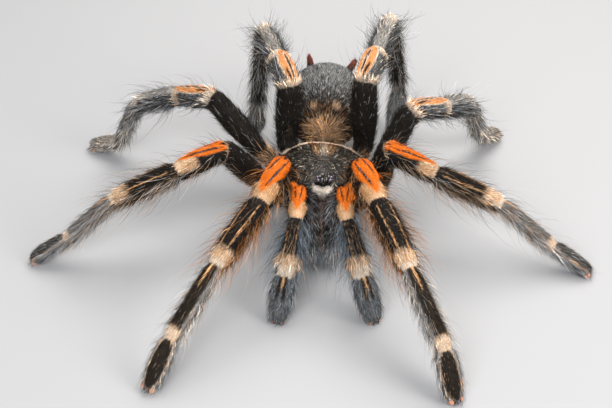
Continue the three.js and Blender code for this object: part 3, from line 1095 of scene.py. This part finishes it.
def shield_tops(places, share):
    """The shield's height over each place by its rear, drawn to its middle by a share."""
    tree = tree_of(NODE_CORNERS["carapace"])
    off = places - CENTRE
    near = (off[:, 1] > -3 * MM) & (np.abs(off[:, :2]) < SHIELD_HALF[:2] * 1.1).all(1)
    for at in np.flatnonzero(near):
        x, y = CENTRE[:2] + off[at, :2] * share
        hit = tree.ray_cast(Vector((x, y, OUTSIDE)), Vector(-UP))[0]
        if hit:
            yield at, hit.z


def surface_of(mesh):
    """Where each vertex of a mesh is on the animal."""
    places = places_of(mesh)
    return locate(places, normals_of(mesh), nearest_nodes(places))


class TARANTULA_OT_shield(bpy.types.Operator):
    """Make the shield of the back, with its pit and the grooves that run out from it"""

    bl_idname = "tarantula.shield"
    bl_label = "Shield"

    def execute(self, context):
        sizes = context.scene.tarantula_sizes
        shield = copies_of(["carapace"], "shield")
        apply_modifier(shield, "REMESH", mode="VOXEL", voxel_size=SHIELD_CELL)
        apply_modifier(shield, "SMOOTH", factor=0.5, iterations=SHIELD_ROUNDS)
        apply_modifier(shield, "DISPLACE", strength=-sizes.shield_depth, mid_level=0)
        spot = surface_of(shield.data)
        off = (spot.co - CENTRE - (0, SHIELD_HALF[1] * PIT_PLACE, 0)) / MM
        reach = np.hypot(off[:, 0], off[:, 1])
        angle = np.degrees(np.arctan2(np.abs(off[:, 0]), -off[:, 1]))
        deep = np.zeros(len(reach))
        for groove, width, depth in GROOVES:
            line = np.exp(-(((angle - groove) / width) ** 2))
            deep += line * depth * between(reach, 1.2, 7.5, 1.0)
        deep += np.exp(-((off[:, 0] / 1.5) ** 2) - (off[:, 1] / 0.45) ** 2) * PIT_DEPTH
        deep *= spot.normal[:, 2] > 0.3
        move(shield.data, spot.co - UP * (deep * MM)[:, None])
        paint(shield.data, blended(spot) * SHIELD_SHADE)
        finished(shield, shield_material(), "coat_black", "carapace")
        return {"FINISHED"}


class TARANTULA_OT_eyes(bpy.types.Operator):
    """Make the eight eyes as glossy lenses, each in a thin rim"""

    bl_idname = "tarantula.eyes"
    bl_label = "Eyes"

    def execute(self, context):
        rims = [self.eye(place, side) for place in EYES for side in SIDES]
        finished(joined(rims, "eye_rims"), rim_skin(), "bare_skin")
        return {"FINISHED"}

    def eye(self, place, side):
        """Makes one lens that looks out from the head, and gives back its rim."""
        node = f"eye_{place}_{side}"
        centre, half = box_middle(node)
        size = float(half.max())
        off = Vector(centre - CENTRE)
        facing = Vector((off.x * 1.6, min(off.y, 0) * 0.35 - 0.002, 0.005))
        turn = facing.to_track_quat("Z", "Y").to_matrix().to_4x4()
        material, oval = (dark_eye(), 1.0) if place == "front_middle" else (pearl_eye(), 1.25)
        deselect()
        bpy.ops.mesh.primitive_uv_sphere_add(segments=28, ring_count=18, radius=size)
        lens = bpy.context.object
        lens.name = lens.data.name = f"{node}_lens"
        lens.data.transform(Matrix.Diagonal((oval, 1.0, 0.82, 1)))
        lens.data.transform(Matrix.Translation(centre) @ turn)
        finished(lens, material, "eye", node)
        deselect()
        bpy.ops.mesh.primitive_torus_add(
            major_segments=28,
            minor_segments=8,
            major_radius=size * 1.04,
            minor_radius=size * 0.16,
        )
        rim = bpy.context.object
        rim.data.transform(Matrix.Diagonal((oval, 1.0, 1.0, 1)))
        back = Matrix.Translation((0, 0, -size * 0.12))
        rim.data.transform(Matrix.Translation(centre) @ turn @ back)
        return rim


class TARANTULA_OT_fangs(bpy.types.Operator):
    """Make the two curved fangs, smooth and glossy"""

    bl_idname = "tarantula.fangs"
    bl_label = "Fangs"

    def execute(self, context):
        for side in SIDES:
            fang = copies_of([f"fang_{side}"], f"fang_{side}_horn")
            apply_modifier(fang, "SUBSURF", levels=2, render_levels=2)
            finished(fang, fang_horn(), "fang", f"fang_{side}")
        return {"FINISHED"}


class TARANTULA_OT_feet(bpy.types.Operator):
    """Make the pads and claws at the tips of the limbs"""

    bl_idname = "tarantula.feet"
    bl_label = "Foot pads and claws"

    def execute(self, context):
        pads, claws = [], []
        for limb in LIMBS:
            tip, way = limb.points[-1], limb.ways[-1]
            across = unit(limb.across - way * dot(way, limb.across))
            back = np.cross(way, across)
            frame_of = Matrix(np.array((across, way, back)).T.tolist()).to_4x4()
            size = limb.radii[-2] / 2 / MM
            for sign in (1, -1):
                at = tip + (across * sign * 0.85 * size - way * 0.35 - back * 0.15) * MM
                pads.append(self.pad(Matrix.Translation(at) @ frame_of, size))
                at = tip + (across * sign * 0.5 + way * 0.25 + back * 0.35) * MM
                claws.append(self.claw(Matrix.Translation(at) @ frame_of))
        for parts, name, material, slot in (
            (pads, "foot_pads", pad_skin(), "bare_skin"),
            (claws, "claws", claw_horn(), "fang"),
        ):
            whole = joined(parts, name)
            for vertex in whole.data.vertices:
                vertex.co.z = max(vertex.co.z, FOOT_HEIGHT)
            finished(whole, material, slot)
        return {"FINISHED"}

    def pad(self, place, size):
        deselect()
        bpy.ops.mesh.primitive_uv_sphere_add(segments=18, ring_count=12, radius=size * MM)
        obj = bpy.context.object
        obj.data.transform(place @ Matrix.Diagonal((0.62, 0.75, 0.8, 1)))
        return obj

    def claw(self, place):
        deselect()
        bpy.ops.mesh.primitive_cone_add(
            vertices=8, radius1=0.14 * MM, radius2=0.02 * MM, depth=0.9 * MM
        )
        obj = bpy.context.object
        with editing():
            bpy.ops.mesh.subdivide(number_cuts=3)
        for vertex in obj.data.vertices:
            rise = vertex.co.z / MM
            vertex.co.y += (rise + 0.45) ** 2 * 0.35 * MM
        obj.data.transform(place @ Matrix.Rotation(math.radians(CLAW_LEAN), 4, "X"))
        return obj


# The lowest that pads and claws come to the floor, and how a claw leans, in degrees.
FOOT_HEIGHT = 0.03 * MM
CLAW_LEAN = -125


# ---------------------------------------------------------------- coat


def scatter(mesh, density, rng, nodes):
    """Roots strewn over the faces of some nodes, so many on each square millimetre."""
    triangles, index = corners(mesh)
    middles = triangles.mean(1)
    if mesh.name not in SURVEYS:
        SURVEYS[mesh.name] = survey(mesh.name, middles)
    owners = SURVEYS[mesh.name]
    cross = np.cross(triangles[:, 1] - triangles[:, 0], triangles[:, 2] - triangles[:, 0])
    area = np.linalg.norm(cross, axis=1) / 2 / MM**2
    mine = np.isin(owners, [COATED.index(n) for n in nodes])
    spot = locate(middles[mine], unit(cross[mine]), owners[mine])
    wanted = np.zeros(len(area))
    wanted[mine] = area[mine] * density(spot)
    count = np.floor(wanted + rng.random(len(wanted))).astype(int)
    which = np.repeat(np.arange(len(area)), count)
    a, b = rng.random((2, len(which)))
    folded = a + b > 1
    a, b = np.where(folded, 1 - a, a), np.where(folded, 1 - b, b)
    weight = np.stack((1 - a - b, a, b), 1)[..., None]
    places = (triangles[which] * weight).sum(1)
    normals = unit((normals_of(mesh)[index[which]] * weight).sum(1))
    return locate(places, normals, owners[which])


def survey(name, middles):
    """The node that each face belongs to, with none for skin that the shield's rear hides."""
    owners = nearest_nodes(middles)
    if name == "skin":
        for at, top in shield_tops(middles, 1.0):
            if 0 < top - middles[at, 2] < HIDDEN_DEPTH:
                owners[at] = -1
    return owners


SURVEYS = {}
# How far under the shield's rear the skin bears no hair.
HIDDEN_DEPTH = 1.6 * MM
# How deep a tuft is rooted, how it thins and how flat it is, the size of its patch on the
# bake map, and the lowest that hair comes to the floor.
ROOT_DEPTH = 0.08 * MM
TAPER = 0.6
FLATNESS = 0.55
PATCH = 0.003
LOWEST = 0.06 * MM


def grow(spot, length, width, lift, curl, rings, sway, rng):
    """One closed tapering tuft on each root, with its rings' places, faces and map."""
    count = len(spot.t)
    lie = spot.lie - spot.normal * dot(spot.lie, spot.normal)[:, None]
    lie = unit(lie + rng.normal(0, 1, (count, 3)) * sway)
    lie = unit(lie - spot.normal * dot(lie, spot.normal)[:, None])
    lift = np.radians(lift)[:, None]
    rise = lie * np.cos(lift) + spot.normal * np.sin(lift)
    side = unit(np.cross(spot.normal, lie))
    over = np.cross(rise, side)
    steps = np.linspace(0, 1, rings + 1)
    angles = np.radians((90, 210, 330))
    length, width, curl = length[:, None], width[:, None], curl[:, None]
    rows, marks = [], []
    for step in steps[:-1]:
        middle = spot.co + length * (rise * step + (lie - rise) * curl * step**2)
        thick = width * 0.5 * (1 - step) ** TAPER
        middle = middle - spot.normal * (ROOT_DEPTH if step == 0 else 0)
        for angle in angles:
            x, y = math.cos(angle), math.sin(angle)
            rows.append(middle + thick * (side * x + over * FLATNESS * y))
            marks.append(spot.map + np.array((x, y)) * PATCH / 2 * (1 - step))
    rows.append(spot.co + length * (rise + (lie - rise) * curl))
    marks.append(spot.map)
    places = np.stack(rows, 1)
    places[..., 2] = np.maximum(places[..., 2], LOWEST)
    faces = [(0, 2, 1)]
    for ring in range(rings - 1):
        for k in range(3):
            a, b = ring * 3 + k, ring * 3 + (k + 1) % 3
            faces += [(a, b, b + 3), (a, b + 3, a + 3)]
    last = (rings - 1) * 3
    faces += [(last + k, last + (k + 1) % 3, rings * 3) for k in range(3)]
    shares = np.append(np.repeat(steps[:-1], 3), 1.0)
    return places, np.array(faces), np.stack(marks, 1), shares


def coat_piece(name, layers, slot):
    """Joins layers of tufts into one coat piece with its colours and bake map."""
    places, faces, marks, shades, start = [], [], [], [], 0
    for place, face, mark, shade in layers:
        count, size = place.shape[:2]
        base = start + np.arange(count)[:, None, None] * size
        places.append(place.reshape(-1, 3))
        faces.append((face[None] + base).reshape(-1, 3))
        marks.append(mark.reshape(-1, 2))
        shades.append(shade.reshape(-1, 3))
        start += count * size
    places, faces = np.concatenate(places), np.concatenate(faces)
    marks = np.concatenate(marks)
    mesh = bpy.data.meshes.new(name)
    mesh.vertices.add(len(places))
    mesh.vertices.foreach_set("co", places.astype(np.float32).ravel())
    mesh.loops.add(faces.size)
    mesh.loops.foreach_set("vertex_index", faces.astype(np.int32).ravel())
    mesh.polygons.add(len(faces))
    mesh.polygons.foreach_set("loop_start", np.arange(0, faces.size, 3, dtype=np.int32))
    mesh.update(calc_edges=True)
    layer = mesh.uv_layers.new(name="OFBake")
    layer.uv.foreach_set("vector", marks[faces.ravel()].astype(np.float32).ravel())
    paint(mesh, np.concatenate(shades))
    if mesh.validate():
        raise RuntimeError(f"{name} had faces that don't hold together")
    obj = bpy.data.objects.new(name, mesh)
    bpy.context.scene.collection.objects.link(obj)
    print(name, len(faces), "triangles")
    return finished(obj, coat_material(), slot)


def solid_tree(*names):
    """A tree of the faces of some pieces, for finding where a ray meets them."""
    return tree_of(np.concatenate([corners(bpy.data.objects[n].data)[0] for n in names]))


def loose_spot(found, lie, axes, half):
    """Roots that are placed one by one, with their map spread over half of the square."""
    places, normals = found[:, :3], found[:, 3:6]
    low, high = places.min(0), places.max(0)
    flat = ((places - low) / np.maximum(high - low, MM))[:, list(axes)]
    return SimpleNamespace(
        co=places,
        normal=unit(normals),
        lie=unit(lie),
        t=np.zeros(len(places)),
        map=(flat * 0.9 + 0.05) * (0.5, 1) + (half / 2, 0),
    )


def fringe(spot, length, width, lift, curl, sway, tints, rng):
    """Tufts on roots placed one by one. length, lift and curl are ranges; tints gives each
    colour's share."""
    count = len(spot.t)
    length, lift, curl = (rng.uniform(*r, count) for r in (length, lift, curl))
    thick = np.full(count, width * MM)
    places, faces, marks, shares = grow(spot, length * MM, thick, lift, curl, 2, sway, rng)
    palette = colours()
    chosen = rng.choice(len(tints), count, p=list(tints.values()))
    shade = np.array([palette[n] for n in tints])[chosen]
    shade = shade * np.exp(rng.normal(0, 0.12, count))[:, None]
    # The colour is darkened towards the root as painted shade and lightened towards the tip as a
    # painted highlight.
    return places, faces, marks, shade[:, None] * (0.8 + 0.3 * shares)[None, :, None]


def by_place(spot, values):
    """For each root, the value of its limb segment or of its part of the body."""
    row = np.zeros(TARSUS + SPINNERET + 1)
    row[: len(values)] = values
    return row[np.where(spot.part == LIMB, spot.segment, TARSUS + spot.part)]


# How dense, long and raised each length of hair is, as shares of the settings and in
# degrees: on the six segments of a limb, then on the shield, sternum, abdomen, pedicel,
# jaws and spinnerets. The guard hair's last rows are added on the flanks.
DOWN = (
    (0.7, 0.95, 1.35, 1.0, 1.0, 1.1, 1.3, 0.8, 1.4, 1.0, 1.2, 1.4),
    (1.4, 0.85, 0.65, 0.9, 0.95, 0.75, 0.72, 1.0, 0.95, 0.9, 0.75, 0.6),
    (32, 18, 11, 16, 18, 16, 20, 18, 18, 20, 16, 16),
)
GUARD = (
    (1.4, 0.5, 0.25, 0.45, 0.55, 0.6, 0.35, 0.7, 1.1, 1.0, 2.0, 0.8),
    (1.1, 0.8, 0.7, 0.9, 0.85, 0.6, 0.5, 0.8, 0.6, 0.7, 0.9, 0.4),
    (45, 30, 26, 28, 26, 24, 34, 30, 22, 30, 22, 25),
    (0.0, 0.4, 0.8, 1.6, 1.6, 1.2),
    (0, 10, 15, 20, 16, 8),
)
BRISTLES = (
    (0.8, 0.25, 0.7, 1.6, 1.2, 0.15, 0.0, 0.5, 0.35, 0.5, 1.0, 0.0),
    (0.7, 0.7, 0.95, 1.05, 0.75, 0.5, 0.5, 0.6, 0.6, 0.5, 0.55, 0.4),
    (50, 45, 55, 55, 46, 30, 30, 40, 38, 40, 30, 25),
)


def before_joint(spot):
    """How much shorter the hair on top of a segment is where the next one starts."""
    ends = (spot.segment >= PATELLA) & (spot.segment < TARSUS)
    top = 1 - rising(np.abs(spot.turn), 70, 110)
    return 1 - 0.5 * ends * top * rising(spot.t, 0.72, 0.95)


def down_look(spot):
    """Density, length and lift of the short tufts."""
    dense, long, lift = (by_place(spot, row) for row in DOWN)
    return dense, long * before_joint(spot), lift


def guard_look(spot):
    """Density, length and lift of the middle tufts."""
    flank = rising(np.abs(spot.turn), 45, 75)
    dense, long, lift, more, higher = (by_place(spot, row) for row in GUARD)
    dense = (dense + more * flank) * before_joint(spot) ** 2
    long = long * before_joint(spot)
    long = long * (1 + 0.35 * flank * (spot.segment >= METATARSUS))
    lift = lift + higher * flank
    front = (spot.part == ABDOMEN) & (spot.t < 0.07)
    dense[front], long[front] = 3.0, 0.85
    long[(spot.part == ABDOMEN) & (spot.normal[:, 2] > 0.5)] = 0.45
    seam = (spot.part == JAW) & (np.abs(spot.co[:, 0] - CENTRE[0]) < 0.8 * MM)
    dense[seam], long[seam] = 5.0, 0.5
    rear = (spot.kind == 2) | (spot.kind == 3)
    collar = rear & (spot.segment == PATELLA) & (spot.t < 0.1)
    dense[collar], lift[collar] = 2.2, 38
    return dense, long, lift


def bristle_look(spot):
    """Density, length and lift of the long hair, which stands on the flanks."""
    dense, long, lift = (by_place(spot, row) for row in BRISTLES)
    flank = between(np.abs(spot.turn), 55, 165, 12)
    dense *= np.where(spot.part == LIMB, 0.12 + flank, 1.0)
    dense *= np.where((spot.kind == 3) & (spot.segment == METATARSUS), 1.6, 1.0)
    jaw, back = spot.part == JAW, spot.part == ABDOMEN
    dense[jaw] *= rising(spot.t[jaw], 0.35, 0.8) * 1.8
    dense[back] *= 1.1 - rising(spot.normal[back, 2], -0.1, 0.6)
    return dense, long, lift


def bristle_shade(spot, rng):
    """Long hair is dark at the back and sides, with ginger, tan and grey among it."""
    palette = colours()
    tint = palette["dark_brown"] * np.ones((len(spot.t), 1))
    chance = rng.random(len(spot.t))
    kind, jaw, abdomen = spot.kind, spot.part == JAW, spot.part == ABDOMEN
    for mine, colour in (
        ((kind == 0) & (chance < 0.5), "ginger"),
        (((kind == 0) | (kind == 1)) & (chance > 0.62), "tan"),
        ((kind == 1) & (chance < 0.3), "grey"),
        ((kind == 2) & (chance < 0.5), "grey"),
        ((kind == 3) & (chance < 0.25), "grey"),
        ((kind == PALP) & (chance < 0.75), "blue_grey"),
        ((spot.segment >= METATARSUS) & (kind != 3) & (chance < 0.7), "grey"),
        (jaw & (chance < 0.8), "blue_grey"),
        (abdomen & (chance < 0.25), "red_brown"),
        (abdomen & (chance > 0.6), "tan"),
    ):
        tint[mine] = palette[colour]
    return tint


# For each length of hair: its setting, its look, the width in millimetres, how many rings
# it has, how its lie sways, the painted shade of its root and painted highlight of its tip,
# how uneven its tone is, and how uneven its length is.
HAIRS = (
    ("down", down_look, 0.112, 1, 0.12, (0.5, 1.2), 0.32, 0.2),
    ("guard", guard_look, 0.11, 2, 0.16, (0.6, 1.3), 0.4, 0.2),
    ("bristle", bristle_look, 0.075, 3, 0.2, (0.6, 1.5), 0.4, 0.35),
)


def coat_layers(piece, nodes, seed):
    """The three lengths of hair on some nodes of a piece."""
    sizes = bpy.context.scene.tarantula_sizes
    mesh = bpy.data.objects[piece].data
    rng = np.random.default_rng(seed)
    made = []
    for name, look, width, rings, sway, (root, tip), uneven, spread in HAIRS:
        density = getattr(sizes, name + "_density")
        spot = scatter(mesh, lambda s: look(s)[0] * density, rng, nodes)
        count = len(spot.t)
        if not count:
            continue
        _, long, lift = look(spot)
        length = long * getattr(sizes, name + "_length") * np.exp(rng.normal(0, spread, count))
        thick = width * MM * rng.uniform(0.8, 1.2, count)
        lifted = np.clip(lift + rng.normal(0, 8, count), 5, 80)
        curl = rng.uniform(0.3, 0.8, count)
        *tufts, shares = grow(spot, length, thick, lifted, curl, rings, sway, rng)
        chance = rng.random(count)
        shade = bristle_shade(spot, rng) if name == "bristle" else markings(spot, chance)
        shade = shade * np.exp(rng.normal(0, uneven, count))[:, None]
        # Each tuft's colour is darkened towards its root as painted shade and lightened towards
        # its tip as a painted highlight.
        painted_root_shade_tip_highlight = root + (tip - root) * shares
        made.append((*tufts, shade[:, None] * painted_root_shade_tip_highlight[None, :, None]))
    return made


class TARANTULA_OT_limb_coat(bpy.types.Operator):
    """Grow the coat of one limb, in tufts that lie towards its tip"""

    bl_idname = "tarantula.limb_coat"
    bl_label = "Limb coat"

    limb: bpy.props.IntProperty(name="Limb", description="Which limb", default=0, min=0, max=9)

    def execute(self, context):
        limb = LIMBS[self.limb]
        layers = coat_layers("skin", limb.nodes, LIMB_SEED + self.limb)
        slot = "coat_grey" if limb.kind == PALP else "coat_black"
        coat_piece(f"coat_{limb.name}", layers, slot)
        return {"FINISHED"}


class TARANTULA_OT_body_coat(bpy.types.Operator):
    """Grow the coat of the abdomen, the waist, the spinnerets and the underside"""

    bl_idname = "tarantula.body_coat"
    bl_label = "Body coat"

    def execute(self, context):
        nodes = ["abdomen", "pedicel", "sternum", "spinneret_right", "spinneret_left"]
        coat_piece("coat_abdomen", coat_layers("skin", nodes, BODY_SEED), "coat_brown")
        return {"FINISHED"}


class TARANTULA_OT_head_coat(bpy.types.Operator):
    """Grow the coat of the shield and the jaws, and the pale fringe below the eyes"""

    bl_idname = "tarantula.head_coat"
    bl_label = "Head coat"

    def execute(self, context):
        shield = coat_layers("shield", ["carapace"], SHIELD_SEED)
        coat_piece("coat_shield", shield, "coat_black")
        jaws = coat_layers("skin", [f"chelicera_{s}" for s in SIDES], JAW_SEED)
        coat_piece("coat_jaws", jaws, "coat_grey")
        coat_piece("coat_pale_fringes", [self.rim_fringe(), self.face_fringe()], "coat_orange")
        return {"FINISHED"}

    def rim_fringe(self):
        """Pale hair that stands on the shield's margin, densest at the rear."""
        rng = np.random.default_rng(RIM_SEED)
        tree = solid_tree("shield")
        middle = np.append(CENTRE[:2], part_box("carapace")[0].z)
        found = []
        for angle in np.radians(rng.uniform(-RIM_ARC, RIM_ARC, RIM_COUNT)):
            way = np.array((math.sin(angle), math.cos(angle), 0))
            reach = 0
            for high in RIM_HEIGHTS:
                start = middle + way * 20 * MM + UP * high * MM
                hit = tree.ray_cast(Vector(start), Vector(-way))[0]
                if hit:
                    reach = max(reach, (np.array(hit) - middle) @ way)
            inside = reach - abs(rng.normal(0, 0.22)) * MM - 0.05 * MM
            start = middle + way * inside + UP * 20 * MM
            hit, normal, _, _ = tree.ray_cast(Vector(start), Vector(-UP))
            if hit:
                found.append((*hit, *normal, *way))
        found = np.array(found)
        ways = found[:, 6:]
        sideways = np.cross(ways, UP) * rng.normal(0, 0.7, len(found))[:, None]
        lie = ways * 0.7 + UP * 0.5 + sideways
        spot = loose_spot(found, lie, (0, 1), 0)
        tints = {"white": 0.68, "cream": 0.26, "tan": 0.06}
        return fringe(spot, (0.5, 1.0), 0.1, (10, 35), (0.2, 0.6), 0.25, tints, rng)

    def face_fringe(self):
        """Two soft pale lobes that hang from the face over the roots of the jaws."""
        rng = np.random.default_rng(FACE_SEED)
        tree = solid_tree("skin", "shield")
        lobe = rng.choice((-1, 1), FACE_COUNT)
        across = lobe * 1.0 + rng.normal(0, 0.5, FACE_COUNT)
        high = FRINGE_TOP - 0.14 * np.cos(across * math.pi) - 0.12 * across**2
        high = high - rng.uniform(0, 1.4, FACE_COUNT)
        found = []
        for x, z in zip(across, high):
            start = Vector((CENTRE[0] + x * MM, CENTRE[1] - 30 * MM, z * MM))
            hit, normal, _, _ = tree.ray_cast(start, Vector((0, 1, 0)))
            if hit and abs(x) < FACE_WIDTH and hit.y > CENTRE[1] - FACE_REACH:
                found.append((*hit, *normal, x))
        found = np.array(found)
        down = np.tile((-0.45, -1.0), (len(found), 1))
        lie = np.column_stack((found[:, 6] * 0.2, down))
        spot = loose_spot(found, lie, (0, 2), 1)
        tints = {"bright": 0.8, "white": 0.17, "cream": 0.03}
        return fringe(spot, (0.9, 1.8), 0.13, (20, 60), (0.4, 0.9), 0.22, tints, rng)


LIMB_SEED, BODY_SEED, SHIELD_SEED, JAW_SEED = 100, 201, 301, 302
RIM_SEED, FACE_SEED = 303, 304
# The rim's hair: how many roots are tried, how far round from the rear in degrees, and
# the heights, in millimetres, at which the margin is sought.
RIM_COUNT = 4200
RIM_ARC = 104
RIM_HEIGHTS = (0.7, 1.2, 1.7, 2.2, 2.7, 3.2)
# The face's hair: how many roots are tried, half its width in millimetres, and how far
# forward of the shield's middle it may stand.
FACE_COUNT = 6400
FACE_WIDTH = 2.25
FACE_REACH = 11.4 * MM


# ---------------------------------------------------------------- stage


class TARANTULA_OT_stage(bpy.types.Operator):
    """Make the floor, the soft lights and the camera"""

    bl_idname = "tarantula.stage"
    bl_label = "Stage"

    def execute(self, context):
        scene = context.scene
        settings = scene.tarantula_stage
        deselect()
        bpy.ops.mesh.primitive_plane_add(size=3, location=(0, 0, 0))
        floor = context.object
        floor.name = "floor"
        material = bpy.data.materials.new("floor_paper")
        material.use_nodes = True
        paper = material.node_tree.nodes["Principled BSDF"].inputs
        paper["Base Color"].default_value = (*settings.floor_colour, 1)
        paper["Roughness"].default_value = 0.9
        floor.data.materials.append(material)
        world = bpy.data.worlds.new("studio")
        world.use_nodes = True
        sky = world.node_tree.nodes["Background"].inputs
        sky["Color"].default_value = (0.82, 0.84, 0.88, 1)
        sky["Strength"].default_value = 0.45
        scene.world = world
        for lamp in LAMPS:
            self.softbox(settings, *lamp)
        scene.view_settings.view_transform = "Standard"
        self.camera(scene, settings)
        return {"FINISHED"}

    def softbox(self, settings, name, place, size, power, share, colour):
        light = bpy.data.lights.new(name, "AREA")
        light.shape = "SQUARE"
        light.size = size
        light.energy = getattr(settings, power) * share
        light.color = colour
        obj = bpy.data.objects.new(name, light)
        obj.location = place
        aim = Vector(CENTRE) - obj.location
        obj.rotation_euler = aim.to_track_quat("-Z", "Y").to_euler()
        bpy.context.scene.collection.objects.link(obj)

    def camera(self, scene, settings):
        high, side = settings.camera_height, settings.camera_side
        out = math.cos(high)
        back = Vector((math.sin(side) * out, -math.cos(side) * out, math.sin(high)))
        right = Vector((math.cos(side), math.sin(side), 0))
        data = bpy.data.cameras.new("camera")
        data.sensor_width = 36
        data.lens = settings.lens
        data.clip_start, data.clip_end = 0.01, 20
        obj = bpy.data.objects.new("camera", data)
        middle = Vector((CENTRE[0], CENTRE[1], 0))
        obj.location = middle + back * settings.camera_distance
        aim = middle - right * AIM_LEFT + back.cross(right) * AIM_UP - obj.location
        turn = aim.to_track_quat("-Z", "Y").to_matrix()
        obj.rotation_euler = (turn @ Matrix.Rotation(CAMERA_ROLL, 3, "Z")).to_euler()
        scene.collection.objects.link(obj)
        scene.camera = obj


# Each softbox: its place, its size, the setting and the share of its power, its colour.
LAMPS = (
    ("key", (0.05, 0.16, 0.34), 0.30, "key_power", 1.0, (1.0, 0.97, 0.93)),
    ("fill", (-0.08, -0.34, 0.25), 0.26, "fill_power", 1.0, (0.96, 0.98, 1.0)),
    ("side", (0.30, -0.16, 0.20), 0.18, "fill_power", 0.6, (1.0, 0.97, 0.94)),
)
# How far the camera aims beside and above the middle of the shield, and how it is rolled.
AIM_LEFT = 3.67 * MM
AIM_UP = 0.28 * MM
CAMERA_ROLL = math.radians(-0.5)


class TARANTULA_PT_panel(bpy.types.Panel):
    """The steps that build the model, in order."""

    bl_idname = "TARANTULA_PT_panel"
    bl_label = "Tarantula"
    bl_space_type = "VIEW_3D"
    bl_region_type = "UI"
    bl_category = "Tarantula"

    def draw(self, context):
        layout = self.layout
        for group in ("tarantula_sizes", "tarantula_colours", "tarantula_stage"):
            settings = getattr(context.scene, group)
            for name in settings.bl_rna.properties.keys():
                if name not in ("rna_type", "name"):
                    layout.prop(settings, name)
        for operator in OPERATORS:
            layout.operator(operator.bl_idname)


OPERATORS = (
    TARANTULA_OT_skin,
    TARANTULA_OT_shield,
    TARANTULA_OT_eyes,
    TARANTULA_OT_fangs,
    TARANTULA_OT_feet,
    TARANTULA_OT_limb_coat,
    TARANTULA_OT_body_coat,
    TARANTULA_OT_head_coat,
    TARANTULA_OT_stage,
)
GROUPS = {
    "tarantula_sizes": TarantulaSizes,
    "tarantula_colours": TarantulaColours,
    "tarantula_stage": TarantulaStage,
}


def register():
    for made in (*GROUPS.values(), *OPERATORS, TARANTULA_PT_panel):
        bpy.utils.register_class(made)
    for name, group in GROUPS.items():
        setattr(bpy.types.Scene, name, bpy.props.PointerProperty(type=group))


def unregister():
    for name in GROUPS:
        delattr(bpy.types.Scene, name)
    for made in reversed((*GROUPS.values(), *OPERATORS, TARANTULA_PT_panel)):
        bpy.utils.unregister_class(made)


def main():
    register()
    bpy.ops.tarantula.skin()
    bpy.ops.tarantula.shield()
    bpy.ops.tarantula.eyes()
    bpy.ops.tarantula.fangs()
    bpy.ops.tarantula.feet()
    for index in range(len(LIMBS)):
        bpy.ops.tarantula.limb_coat(limb=index)
    bpy.ops.tarantula.body_coat()
    bpy.ops.tarantula.head_coat()
    bpy.ops.tarantula.stage()


if __name__ == "__main__":
    main()
